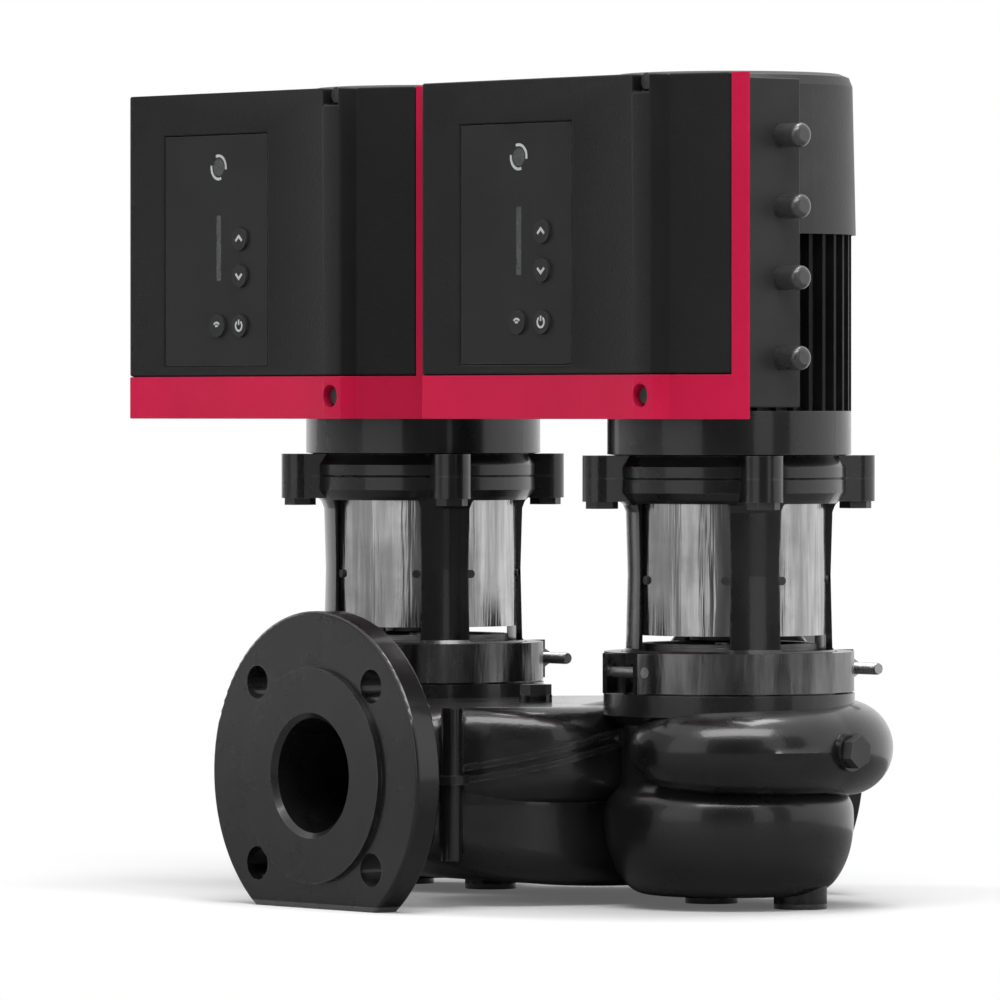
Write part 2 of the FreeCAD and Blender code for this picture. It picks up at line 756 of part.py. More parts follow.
def shaft_seal(name, side):
    body = new_body(name, side)
    bore = "pump_shaft_radius + running_clearance"
    bottom = "joint_face - seal_seat_depth"
    revolve(body, [
        (bore, bottom), ("seal_radius", bottom), ("seal_radius", bottom + " + seal_length * 0.6"),
        ("seal_radius - 4", bottom + " + seal_length * 0.6"), ("seal_radius - 4", bottom + " + seal_length"),
        (bore, bottom + " + seal_length")])
    return body


def impeller(name, side):
    # Back shroud and hub, curved blades trimmed under a coned front shroud with the eye ring.
    body = new_body(name, side)
    back_bottom = "volute_height + 4"
    back_top = back_bottom + " + shroud_thickness"
    hub_top = back_top + " + 5"
    revolve(body, [
        ("pump_shaft_radius", "volute_height - 8"), ("hub_radius - 3", "volute_height - 8"),
        ("hub_radius", back_bottom), ("impeller_radius", back_bottom), ("impeller_radius", back_top),
        ("hub_radius", back_top), ("hub_radius", hub_top), ("pump_shaft_radius", hub_top)])
    blade = new_sketch(body, "XY_Plane", "volute_height - 18")
    add_blade(blade, "hub_radius - 1", "impeller_radius - 0.5", 55, 2.6)
    first = pad(body, blade, "22.5")
    repeat_around(body, first, "impeller_blades")
    rim = "impeller_radius + 1"
    eye_inner = "eye_radius - 4"
    eye_outer = "eye_radius - part_clearance"
    low = "volute_height - 24"
    shroud_root = "volute_height - 14"
    shroud_rim = "volute_height - 9"
    revolve(body, [
        ("hub_radius - 6", low), (rim, low), (rim, shroud_rim), ("impeller_radius - 6", shroud_rim),
        (eye_inner, shroud_root), ("hub_radius - 6", "volute_height - 10")], "Groove")
    revolve(body, [
        (eye_inner, low), (eye_outer, low), (eye_outer, "bowl_top + 13"),
        ("impeller_radius", shroud_rim + " - shroud_thickness"), ("impeller_radius", shroud_rim),
        ("impeller_radius - 6", shroud_rim), (eye_inner, shroud_root)])
    return body


def add_blade(sketch, inner, outer, sweep, thickness):
    # Backward curved blade between two radii; its sides are arcs through three points.
    start_radius = float(sketch.evalExpression(bound(inner)))
    end_radius = float(sketch.evalExpression(bound(outer)))
    middle_radius = (start_radius + end_radius) / 2
    turns = (0, sweep * 0.42, sweep)
    sides = []
    for offset in (-thickness / 2, thickness / 2):
        side = []
        for radius, turn in zip((start_radius, middle_radius, end_radius), turns):
            angle = -math.radians(turn) + offset / radius
            side.append(VECTOR(radius * math.cos(angle), radius * math.sin(angle), 0))
        sides.append(side)
    low, high = sides
    sketch.addGeometry(Part.Arc(*low), False)
    sketch.addGeometry(Part.LineSegment(low[2], high[2]), False)
    sketch.addGeometry(Part.Arc(*high[::-1]), False)
    sketch.addGeometry(Part.LineSegment(high[0], low[0]), False)


def pump_shaft(name, side):
    body = new_body(name, side)
    top = "coupling_bottom + coupling_length / 2 - 1"
    nut_bottom = "volute_height - 17"
    revolve(body, [
        ("0", nut_bottom), ("hub_radius - 5", nut_bottom), ("hub_radius - 3", "volute_height - 8"),
        ("pump_shaft_radius", "volute_height - 8"), ("pump_shaft_radius", top), ("0", top)])
    return body


def shaft_coupling(name, side):
    # Two half shells bolted round both shaft ends.
    body = new_body(name, side)
    bottom = "coupling_bottom"
    middle = "coupling_bottom + coupling_length / 2"
    top = "coupling_bottom + coupling_length"
    revolve(body, [
        ("pump_shaft_radius", bottom), ("coupling_radius - 1", bottom), ("coupling_radius", bottom + " + 1"),
        ("coupling_radius", top + " - 1"), ("coupling_radius - 1", top), ("motor_shaft_radius", top),
        ("motor_shaft_radius", middle), ("pump_shaft_radius", middle)])
    split = new_sketch(body, "XZ_Plane")
    add_box_outline(split, "-0.6", "0.6", bottom + " - 5", top + " + 5")
    pocket(body, split, "100", Midplane=True)
    return body


def motor_stool(name, side):
    # Cast pedestal: coned foot rim, waisted wall with four windows, top flange with four lugs.
    body = new_body(name, side, "lug_turn")
    foot = "joint_face"
    bore = "stool_radius - stool_wall"
    taper_top = foot + " + joint_rim_height + joint_taper_height"
    revolve(body, [
        (bore, foot), ("joint_rim_radius", foot), ("joint_rim_radius", foot + " + joint_rim_height"),
        ("joint_neck_radius", taper_top), ("joint_neck_radius", foot + " + joint_half_height"),
        ("stool_radius", "window_bottom + 1"), ("stool_waist_radius", "(joint_face + stool_top) / 2"),
        ("stool_radius", "window_top - 5"), ("stool_radius + 1.5", "window_top - 1"),
        ("motor_flange_radius - 3", "window_top + 2"), ("motor_flange_radius", "window_top + 6"),
        ("motor_flange_radius", "stool_top - parting_chamfer"),
        ("motor_flange_radius - parting_chamfer", "stool_top"), ("stool_radius - 18", "stool_top"),
        ("stool_radius - 18", "stool_top - 7"), (bore, "window_top + 2")])
    lug = new_sketch(body, "XY_Plane", "stool_top")
    reach = "lug_centre_radius * cos(45)"
    add_circle(lug, reach, reach, "lug_radius")
    lug_pad = pad(body, lug, "lug_thickness", Reversed=True)
    web = new_sketch(body, "XY_Plane", "stool_top")
    near = "(motor_flange_radius - 6) * cos(45)"
    half = "lug_radius * cos(45)"
    add_outline(web, [
        (near + " + " + half, near + " - " + half), (reach + " + " + half, reach + " - " + half),
        (reach + " - " + half, reach + " + " + half), (near + " - " + half, near + " + " + half)])
    web_pad = pad(body, web, "lug_thickness", Reversed=True)
    pattern = body.newObject("PartDesign::PolarPattern", name + "_lugs")
    pattern.Originals = [lug_pad, web_pad]
    pattern.Axis = (lug, ["N_Axis"])
    pattern.Angle = 360
    pattern.Occurrences = 4
    body.Tip = pattern
    for plane in ("XZ_Plane", "YZ_Plane"):
        window = new_sketch(body, plane)
        add_box_outline(window, "-window_width / 2", "window_width / 2", "window_bottom", "window_top")
        pocket(body, window, "160", Midplane=True)
    bolt_holes(body, "stool_top + 1", "lug_thickness + 2")
    return body


def bolt_holes(body, height, depth):
    holes = new_sketch(body, "XY_Plane", height)
    for across in ("", "-"):
        for along in ("", "-"):
            reach = "(lug_centre_radius * cos(45))"
            add_circle(holes, across + reach, along + reach, "flange_bolt_radius + running_clearance")
    pocket(body, holes, depth)


def coupling_guards(name, side):
    # Four bent sheets close the windows from inside.
    body = new_body(name, side, "lug_turn")
    sketch = new_sketch(body, "XZ_Plane")
    outer = "stool_radius - stool_wall - part_clearance"
    add_box_outline(sketch, outer + " - guard_thickness", outer, "guard_bottom", "window_top + 1")
    sheet_turn = add_feature(body, "Revolution", sketch, Angle="guard_span")
    sheet_turn.ReferenceAxis = (sketch, ["V_Axis"])
    sheet_turn.Midplane = True
    pattern = body.newObject("PartDesign::PolarPattern", name + "_pattern")
    pattern.Originals = [sheet_turn]
    pattern.Axis = (sketch, ["V_Axis"])
    pattern.Angle = 360
    pattern.Occurrences = 4
    body.Tip = pattern
    return body


def around_head(side, radius, angle, height):
    turn = math.radians(angle)
    return VECTOR(side * size("head_pitch") / 2 + radius * math.cos(turn), radius * math.sin(turn), height)


def guard_screws():
    # A screw at each side of every window holds the guard sheet's edge.
    seat = size("stool_radius") - size("stool_wall") - size("part_clearance")
    head = size("guard_screw_radius")
    height_out = size("guard_screw_height")
    edge = size("window_width") / 2 - head - height_out - size("part_clearance")
    lean = math.degrees(math.asin(edge / seat))
    height = (size("guard_bottom") + size("window_top")) / 2 - size("guard_screw_drop")
    solids = []
    for side in (-1, 1):
        for quarter in range(4):
            for turn in (-lean, lean):
                place = around_head(side, seat, size("lug_turn") + 90 * quarter + turn, height)
                outward = place - around_head(side, 0, 0, height)
                solids.append(Part.makeCylinder(head, height_out, place, outward))
    return set_shape("guard_screws", Part.makeCompound(solids))


def flange_bolts():
    # Eight bolts join the motor flanges to the stools, heads below.
    solids = []
    shank = size("flange_bolt_radius")
    grip = size("lug_thickness") * 2
    for side in (-1, 1):
        for quarter in range(4):
            angle = size("lug_turn") + 45 + 90 * quarter
            height = size("stool_top") - size("lug_thickness")
            place = around_head(side, size("lug_centre_radius"), angle, height)
            head = hexagon(shank + 3, 4, place - VECTOR(0, 0, 4), UP)
            rod = Part.makeCylinder(shank, grip, place, UP)
            solids.append(head.fuse(rod).removeSplitter())
    return set_shape("flange_bolts", Part.makeCompound(solids))


# Motor pieces

def motor_flange(name, side):
    body = new_body(name, side, "lug_turn")
    revolve(body, [
        ("motor_shaft_radius + 2", "stool_top"), ("motor_flange_radius - parting_chamfer", "stool_top"),
        ("motor_flange_radius", "stool_top + parting_chamfer"),
        ("motor_flange_radius", "motor_start - 1 - flange_cone_height"),
        ("motor_flange_radius - flange_cone_width", "motor_start - 1"), ("motor_radius", "motor_start"),
        ("motor_radius", "stator_bottom"), ("stator_core_radius - 8", "stator_bottom"),
        ("stator_core_radius - 8", "motor_start + 3"), ("bearing_radius + 5", "motor_start + 3"),
        ("bearing_radius", "motor_start + 1"), ("bearing_radius", "stool_top + 4"),
        ("motor_shaft_radius + 2", "stool_top + 4")])
    lug = new_sketch(body, "XY_Plane", "stool_top")
    reach = "lug_centre_radius * cos(45)"
    add_circle(lug, reach, reach, "lug_radius")
    lug_pad = pad(body, lug, "lug_thickness")
    web = new_sketch(body, "XY_Plane", "stool_top")
    near = "(motor_flange_radius - 6) * cos(45)"
    half = "lug_radius * cos(45)"
    add_outline(web, [
        (near + " + " + half, near + " - " + half), (reach + " + " + half, reach + " - " + half),
        (reach + " - " + half, reach + " + " + half), (near + " - " + half, near + " + " + half)])
    web_pad = pad(body, web, "lug_thickness")
    pattern = body.newObject("PartDesign::PolarPattern", name + "_lugs")
    pattern.Originals = [lug_pad, web_pad]
    pattern.Axis = (lug, ["N_Axis"])
    pattern.Angle = 360
    pattern.Occurrences = 4
    body.Tip = pattern
    bolt_holes(body, "stool_top + lug_thickness + 1", "lug_thickness + 2")
    return body


def stator_housing(name, side):
    # Core sleeve with upright cooling fins all round.
    body = new_body(name, side)
    ring(body, "rotor_radius + air_gap", "stator_core_radius", "stator_bottom", "stator_top")
    fin = new_sketch(body, "XY_Plane", "stator_bottom")
    add_box_outline(fin, "stator_core_radius - 1", "motor_radius", "-fin_thickness / 2", "fin_thickness / 2")
    first = pad(body, fin, "stator_top - stator_bottom")
    repeat_around(body, first, "fin_count")
    return body


def motor_bearings(name, side):
    body = new_body(name, side)
    bore = "motor_shaft_radius + running_clearance"
    sketch = new_sketch(body, "XZ_Plane")
    for bottom in ("stool_top + 4", "stator_top + 1"):
        add_box_outline(sketch, bore, "bearing_radius", bottom, bottom + " + bearing_width")
    feature = add_feature(body, "Revolution", sketch, Angle=360.0)
    feature.ReferenceAxis = (sketch, ["V_Axis"])
    return body


def motor_rotor(name, side):
    body = new_body(name, side)
    bottom = "coupling_bottom + coupling_length / 2 + 1"
    revolve(body, [
        ("0", bottom), ("motor_shaft_radius", bottom), ("motor_shaft_radius", "stator_bottom + 12"),
        ("rotor_radius", "stator_bottom + 12"), ("rotor_radius", "stator_top - 12"),
        ("motor_shaft_radius", "stator_top - 12"), ("motor_shaft_radius", "stator_top + 45"),
        ("0", "stator_top + 45")])
    return body


def rear_shield(name, side):
    body = new_body(name, side)
    revolve(body, [
        ("motor_shaft_radius + 2", "stator_top"), ("motor_radius", "stator_top"),
        ("motor_radius", "stator_top + 8"), ("bearing_radius + 10", "stator_top + 10"),
        ("bearing_radius + 6", "stator_top + bearing_width + 1"),
        ("bearing_radius", "stator_top + bearing_width + 1"),
        ("bearing_radius", "stator_top + 1"), ("motor_shaft_radius + 2", "stator_top + 1")])
    return body


def cooling_fan(name, side):
    body = new_body(name, side)
    bottom = "stator_top + bearing_width + 6"
    revolve(body, [
        ("motor_shaft_radius", bottom), ("fan_radius - 6", bottom), ("fan_radius - 6", bottom + " + 2.5"),
        ("motor_shaft_radius + 6", bottom + " + 6"), ("motor_shaft_radius + 6", bottom + " + 24"),
        ("motor_shaft_radius", bottom + " + 24")])
    blade = new_sketch(body, "XY_Plane", bottom)
    add_box_outline(blade, "motor_shaft_radius + 4", "fan_radius", "-1.5", "1.5")
    first = pad(body, blade, "24")
    repeat_around(body, first, "fan_blades")
    return body


def fan_cover(name, side):
    # Thin cowl that flares towards the motor, with a slotted air grille on top.
    body = new_body(name, side)
    top = "fan_cover_top"
    wall = "fan_cover_wall"
    revolve(body, [
        ("fan_cover_radius", "stator_top"), ("fan_cover_top_radius", top + " - 7"),
        ("fan_cover_top_radius - 2", top + " - 2"), ("fan_cover_top_radius - 7", top), ("0", top),
        ("0", top + " - " + wall), ("fan_cover_top_radius - 8", top + " - " + wall),
        ("fan_cover_top_radius - " + wall + " - 1.5", top + " - 4"),
        ("fan_cover_top_radius - " + wall, top + " - 9"), ("fan_cover_radius - " + wall, "stator_top")])
    slot = new_sketch(body, "XY_Plane", top + " + 1")
    add_box_outline(slot, "motor_shaft_radius + 9", "fan_radius - 2", "-1.6", "1.6")
    first = pocket(body, slot, wall + " + 2")
    repeat_around(body, first, "grille_slots")
    return body


# Control box pieces

# Plan of the box front: flat with a raised band, a steep step and a facet that runs back to the corner.
FACET_START = "ridge_place + ridge_flat"
FRONT_CORNERS = [
    ("-box_left", "-box_front + 2"), ("-box_left + 2", "-box_front"), ("ridge_place - 7", "-box_front"),
    ("ridge_place - 3", "-box_front - ridge_proud"),
    (FACET_START + " - 3", "-box_front - ridge_proud"),
    (FACET_START, "-box_front + facet_depth - (%s - ridge_place - ridge_flat) * facet_slope" % BOX_RIGHT)]
STRIP_EDGE = "-box_front + facet_depth - frame_strip_width * facet_slope"


def box_base(name, side):
    # Carrier behind the box, hollowed for the circuit side, saddled on the motor and finned at the back.
    body = new_body(name, side)
    low = "box_bottom + 6.5"
    high = "box_top - 3"
    right = "(%s - 1)" % BOX_RIGHT
    left = "-(box_left - 1)"
    block = new_sketch(body, "XY_Plane", low)
    add_box_outline(block, left, right, "-box_split", "-box_rear")
    pad(body, block, high + " - (" + low + ")")
    saddle = new_sketch(body, "XY_Plane", low)
    add_circle(saddle, "0", "0", "motor_radius + part_clearance")
    pocket(body, saddle, high + " - (" + low + ")", Reversed=True)
    relief = new_sketch(body, "XY_Plane", "stator_top - 1")
    add_circle(relief, "0", "0", "fan_cover_radius + part_clearance")
    pocket(body, relief, high + " - stator_top + 2", Reversed=True)
    room = new_sketch(body, "XZ_Plane", "box_split")
    add_box_outline(room, left + " + 8", right + " - 8", low + " + 8", high + " - 8")
    pocket(body, room, "10")
    fins = new_sketch(body, "XY_Plane", low)
    for hand in ("", "-"):
        for place in range(5):
            near = "%s(%s - %d)" % (hand, BOX_RIGHT, 60 - place * 11)
            outer = "%s(%s - %d)" % (hand, BOX_RIGHT, 54 - place * 11)
            add_outline(fins, [(near, "-box_rear - 14"), (outer, "-box_rear - 14"), (outer, "-box_rear + 1"),
                               (near, "-box_rear + 1")])
    pocket(body, fins, high + " - (" + low + ")", Reversed=True)
    return body


def box_frame(name, side):
    # Coloured tray under the cover that turns up along the right corner.
    body = new_body(name, side)
    corner = BOX_RIGHT
    tray = new_sketch(body, "XY_Plane", "box_bottom")
    back_corner = "-box_front + facet_depth"
    add_outline(tray, FRONT_CORNERS + [
        (corner, back_corner), (corner, "-box_split"), ("-box_left", "-box_split")])
    pad(body, tray, "frame_height")
    room = new_sketch(body, "XY_Plane", "box_bottom + 4")
    add_outline(room, [
        ("-box_left + 5", "-box_front + cover_wall"), ("ridge_place + 3", "-box_front + cover_wall"),
        ("%s - 14" % BOX_RIGHT, "-box_split - 1"), ("-box_left + 5", "-box_split - 1")])
    pocket(body, room, "frame_height", Reversed=True)
    strip = new_sketch(body, "XY_Plane", "box_bottom + frame_height - 1")
    inner = "%s - frame_strip_width" % BOX_RIGHT
    add_outline(strip, [
        (inner, STRIP_EDGE), (corner, back_corner), (corner, "-box_split"), (inner, "-box_split")])
    pad(body, strip, "box_top - box_bottom - frame_height + 1")
    recess = new_sketch(body, "XZ_Plane", "box_front + 3")
    add_circle(recess, "ridge_place + 2", "box_bottom + screw_low_rise", "screw_recess_radius")
    pocket(body, recess, "9")
    return body


def box_cover(name, side):
    # Charcoal front shell with the panel recess, a grooved rib and a notch for the top screw.
    body = new_body(name, side)
    low = "box_bottom + frame_height + part_clearance"
    inner = "%s - frame_strip_width - part_clearance" % BOX_RIGHT
    plan = new_sketch(body, "XY_Plane", low)
    add_outline(plan, FRONT_CORNERS + [
        (inner, STRIP_EDGE + " - part_clearance * facet_slope"), (inner, "-box_split"),
        ("-box_left", "-box_split")])
    pad(body, plan, "box_top - (" + low + ")")
    room = new_sketch(body, "XY_Plane", low + " + 3")
    add_outline(room, [
        ("-box_left + 3", "-box_front + cover_wall"), ("ridge_place + 4", "-box_front + cover_wall"),
        (FACET_START + " - 1", "-box_front + cover_wall + 6"),
        (inner + " - 4", "-box_front + facet_depth - 1"),
        (inner + " - 4", "-box_split + 1"), ("-box_left + 3", "-box_split + 1")])
    pocket(body, room, "box_top - 3 - (" + low + " + 3)", Reversed=True)
    window = new_sketch(body, "XZ_Plane", "box_front")
    add_box_outline(window, "-panel_left", "panel_right", "panel_bottom", "panel_top")
    pocket(body, window, "panel_recess")
    notch = new_sketch(body, "XZ_Plane", "box_front + 3")
    add_box_outline(notch, "ridge_place - 5", "ridge_place + 9", "box_top - 10", "box_top + 1")
    pocket(body, notch, "10")
    return body


BUTTON_PLACES = {
    "up": ("-20", "380"), "down": ("-20", "358.5"), "mode": ("-41", "329.5"), "run": ("-20", "329.5")}


def control_panel(name, side):
    body = new_body(name, side)
    face = "box_front - panel_recess + panel_thickness"
    plate = new_sketch(body, "XZ_Plane", face)
    gap = "part_clearance"
    add_box_outline(plate, "-panel_left + " + gap, "panel_right - " + gap, "panel_bottom + " + gap,
                    "panel_top - " + gap)
    pad(body, plate, "panel_thickness", Reversed=True)
    holes = new_sketch(body, "XZ_Plane", face)
    for across, height in BUTTON_PLACES.values():
        add_circle(holes, across, height, "button_radius + part_clearance")
    pocket(body, holes, "panel_thickness")
    lights = new_sketch(body, "XZ_Plane", face)
    add_circle(lights, "light_across", "light_eye_height", "light_eye_radius")
    add_box_outline(lights, "light_across - light_bar_width / 2", "light_across + light_bar_width / 2",
                    "light_bar_bottom", "light_bar_bottom + light_bar_length")
    pocket(body, lights, "light_depth")
    return body


def panel_button(name, side, across, height):
    body = new_body(name, side)
    sketch = new_sketch(body, "XZ_Plane", "box_front + button_proud")
    add_circle(sketch, across, height, "button_radius")
    pad(body, sketch, "button_proud + panel_recess - button_travel - part_clearance", Reversed=True)
    return body


def panel_lights():
    # A round status light and an upright level light on each panel, flush in their pockets.
    face = size("panel_recess") - size("panel_thickness") - size("box_front")
    depth = size("light_depth")
    solids = []
    for side in (-1, 1):
        across = side * size("head_pitch") / 2 + size("light_across")
        eye_place = VECTOR(across, face + depth, size("light_eye_height"))
        solids.append(Part.makeCylinder(size("light_eye_radius"), depth, eye_place, VECTOR(0, -1, 0)))
        bar_place = VECTOR(across - size("light_bar_width") / 2, face, size("light_bar_bottom"))
        solids.append(Part.makeBox(size("light_bar_width"), depth, size("light_bar_length"), bar_place))
    return set_shape("panel_lights", Part.makeCompound(solids))


def box_plugs():
    # Blanking plugs with rounded ends close the cable entries on the right side of each box.
    top = size("plug_top_height")
    heights = [top, top - size("plug_spacing"), top - 2 * size("plug_spacing"), size("plug_low_height")]
    solids = []
    for side in (-1, 1):
        for height in heights:
            place = VECTOR(side * size("head_pitch") / 2 + box_right() - 1, -size("plug_depth"), height)
            plug = Part.makeCylinder(size("plug_radius"), size("plug_reach") + 1, place, VECTOR(1, 0, 0))
            end = max(plug.Edges, key=lambda edge: edge.CenterOfMass.x)
            solids.append(plug.makeFillet(size("plug_rounding"), [end]))
    return set_shape("box_plugs", Part.makeCompound(solids))


def cover_screws():
    # One screw in the notch of each cover and one in the recess of each frame.
    length = size("screw_head_height")
    solids = []
    for side in (-1, 1):
        across = side * size("head_pitch") / 2 + size("ridge_place") + 2
        top_place = VECTOR(across, length * 2 - size("box_front"), size("box_top") - 4)
        low_height = size("box_bottom") + size("screw_low_rise")
        low_place = VECTOR(across, length * 2 - 1 - size("box_front"), low_height)
        for place in (top_place, low_place):
            solids.append(Part.makeCylinder(size("screw_head_radius"), length, place, VECTOR(0, -1, 0)))
    return set_shape("cover_screws", Part.makeCompound(solids))


# Non-return flap in the outlet chamber

def non_return_flap():
    body = new_body("non_return_flap")
    body.setExpression("Placement.Base.y", bound("-flap_hinge_reach"))
    hub = new_sketch(body, "XY_Plane", "port_height - flap_half_height")
    add_circle(hub, "0", "0", "flap_pin_radius + 3")
    pad(body, hub, "flap_half_height * 2")
    leaf = new_sketch(body, "YZ_Plane")
    add_box_outline(leaf, "-flap_length", "-1", "port_height - flap_half_height",
                    "port_height + flap_half_height")
    pad(body, leaf, "flap_thickness", Midplane=True)
    bore = new_sketch(body, "XY_Plane", "port_height - flap_half_height")
    add_circle(bore, "0", "0", "flap_pin_radius + running_clearance")
    pocket(body, bore, "flap_half_height * 2", Reversed=True)
    return body


def flap_pin():
    pin = document.addObject("Part::Cylinder", "flap_pin")
    pin.setExpression("Radius", bound("flap_pin_radius"))
    pin.setExpression("Height", bound("flap_pin_length"))
    pin.setExpression("Placement.Base.y", bound("-flap_hinge_reach"))
    pin.setExpression("Placement.Base.z", bound("flap_pin_bottom"))
    return pin


def volute_plugs():
    # Screwed hexagon plugs in the tapped boss of each volute and in the vent boss.
    openings = []
    for side, exit_angle in HEAD_TURNS:
        centre, outward = boss_place(side, exit_angle)
        openings.append((centre + outward * size("boss_reach"), outward))
    openings.append((VECTOR(0, -size("vent_along"), size("body_top") + size("vent_rise")), UP))
    solids = []
    for face, outward in openings:
        bottom = face - outward * size("tap_depth")
        stem = Part.makeCylinder(size("tap_radius"), size("tap_depth"), bottom, outward)
        cap = hexagon(size("plug_head_half_width"), size("plug_head_height"), face, outward)
        solids.append(stem.fuse(cap))
    return set_shape("volute_plugs", Part.makeCompound(solids))


HEAD_PIECES = [
    clamp_ring, head_cover, shaft_seal, impeller, pump_shaft, shaft_coupling, motor_stool, coupling_guards,
    motor_flange, stator_housing, motor_bearings, motor_rotor, rear_shield, cooling_fan, fan_cover,
    box_base, box_frame, box_cover, control_panel]

pieces = [pump_housing(), non_return_flap(), flap_pin(), volute_plugs(), clamp_bolts(), guard_screws(),
          flange_bolts(), panel_lights(), box_plugs(), cover_screws()]
for hand, side in (("left", -1), ("right", 1)):
    for build_piece in HEAD_PIECES:
        pieces.append(build_piece(hand + "_" + build_piece.__name__, side))
    for button, (across, height) in BUTTON_PLACES.items():
        pieces.append(panel_button("%s_%s_button" % (hand, button), side, across, height))
document.recompute()

for item in document.Objects:
    if "Invalid" in item.State or "Error" in item.State:
        raise RuntimeError("%s failed" % item.Name)
    if item.TypeId in ("PartDesign::Pocket", "PartDesign::Groove"):
        if item.BaseFeature.Shape.Volume - item.Shape.Volume < 0.01:
            raise RuntimeError("%s cuts nothing" % item.Name)

os.makedirs("parts", exist_ok=True)
for piece in pieces:
    if piece.Shape.isNull() or not piece.Shape.isValid():
        raise RuntimeError("%s has a bad shape" % piece.Label)
    piece.Shape.exportStep("parts/%s.step" % piece.Label)
print("%d pieces written" % len(pieces))
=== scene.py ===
import json
import math

import bmesh
import bpy
import numpy as np
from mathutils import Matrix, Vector


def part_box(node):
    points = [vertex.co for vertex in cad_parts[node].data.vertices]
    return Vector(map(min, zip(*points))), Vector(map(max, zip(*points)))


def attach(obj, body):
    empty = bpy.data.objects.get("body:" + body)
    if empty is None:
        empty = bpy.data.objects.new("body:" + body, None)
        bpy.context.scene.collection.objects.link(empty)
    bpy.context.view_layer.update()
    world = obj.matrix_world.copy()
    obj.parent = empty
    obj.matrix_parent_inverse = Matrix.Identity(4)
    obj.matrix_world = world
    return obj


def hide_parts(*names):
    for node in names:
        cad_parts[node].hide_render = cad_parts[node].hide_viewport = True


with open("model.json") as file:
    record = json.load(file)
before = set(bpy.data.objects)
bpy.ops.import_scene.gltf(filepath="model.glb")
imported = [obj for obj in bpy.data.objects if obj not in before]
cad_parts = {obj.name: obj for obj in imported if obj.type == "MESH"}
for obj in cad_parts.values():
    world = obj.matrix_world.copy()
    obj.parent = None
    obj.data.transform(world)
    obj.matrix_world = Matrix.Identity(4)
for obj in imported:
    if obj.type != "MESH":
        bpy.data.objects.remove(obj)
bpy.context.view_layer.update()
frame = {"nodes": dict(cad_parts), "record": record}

nodes = frame["nodes"]
slotOfNode = {part["node"]: part["material_slot"] for part in frame["record"]["subparts"]}
bodyMembers = frame["record"]["behaviour"]["bodies"]
bodyOfNode = {node: body for body, members in bodyMembers.items() for node in members}
print("frame loaded:", len(nodes), "nodes")

# camera: the photograph's own viewpoint, lens and frame
cameraShot = {
    "turnDeg": 50.272,  # round the pump from the outlet flange's side
    "downDeg": 0.581,
    "distance": 5.00434,
    "aside": -0.04205,
    "height": 0.27946,
    "focalPixels": 8682.34,
    "framePixels": 1000,
    "sensor": 36.0,
    "clip": (0.1, 100),
}


def addCamera(shot):
    turn = math.radians(shot["turnDeg"])
    back = Vector((math.sin(turn), -math.cos(turn), 0))
    right = Vector((math.cos(turn), math.sin(turn), 0))
    data = bpy.data.cameras.new("photoCamera")
    data.sensor_width = shot["sensor"]
    data.lens = shot["focalPixels"] / shot["framePixels"] * shot["sensor"]
    data.clip_start, data.clip_end = shot["clip"]
    camera = bpy.data.objects.new("photoCamera", data)
    camera.location = back * shot["distance"] + right * shot["aside"] + Vector((0, 0, shot["height"]))
    camera.rotation_euler = (math.radians(90 - shot["downDeg"]), 0, turn)
    bpy.context.scene.collection.objects.link(camera)
    bpy.context.scene.camera = camera
    return camera


addCamera(cameraShot)
print("camera set")


# shader node groups: each works out masks or heights, about 0 to 1, from Object coordinates or the normal
def newGroup(name, inputs, outputs):
    group = bpy.data.node_groups.new(name, "ShaderNodeTree")
    for label, value in inputs.items():
        kind = "NodeSocketVector" if isinstance(value, tuple) else "NodeSocketFloat"
        socket = group.interface.new_socket(name=label, in_out="INPUT", socket_type=kind)
        socket.default_value = value
    for label in outputs:
        group.interface.new_socket(name=label, in_out="OUTPUT", socket_type="NodeSocketFloat")
    return group, group.nodes.new("NodeGroupInput"), group.nodes.new("NodeGroupOutput")


def setSocket(tree, socket, value):
    if isinstance(value, bpy.types.NodeSocket):
        tree.links.new(value, socket)
    else:
        socket.default_value = value


def mathNode(tree, operation, first, second=0.0, third=0.0):
    node = tree.nodes.new("ShaderNodeMath")
    node.operation = operation
    for socket, value in zip(node.inputs, (first, second, third)):
        setSocket(tree, socket, value)
    return node.outputs[0]


def noiseNode(tree, vector, scale, detail=2.0, roughness=0.5):
    node = tree.nodes.new("ShaderNodeTexNoise")
    tree.links.new(vector, node.inputs["Vector"])
    setSocket(tree, node.inputs["Scale"], scale)
    node.inputs["Detail"].default_value = detail
    node.inputs["Roughness"].default_value = roughness
    return node.outputs["Fac"]


def stretchNode(tree, value, low, high):
    # rescales low..high to 0..1 with a smooth step, and holds it there
    node = tree.nodes.new("ShaderNodeMapRange")
    node.interpolation_type = "SMOOTHSTEP"
    setSocket(tree, node.inputs["Value"], value)
    setSocket(tree, node.inputs["From Min"], low)
    setSocket(tree, node.inputs["From Max"], high)
    return node.outputs["Result"]


def objectPlace(tree):
    return tree.nodes.new("ShaderNodeTexCoord").outputs["Object"]


grainMix = {"coarseStep": 0.36, "coarseShare": 0.45, "mottleSpread": (0.3, 0.7)}


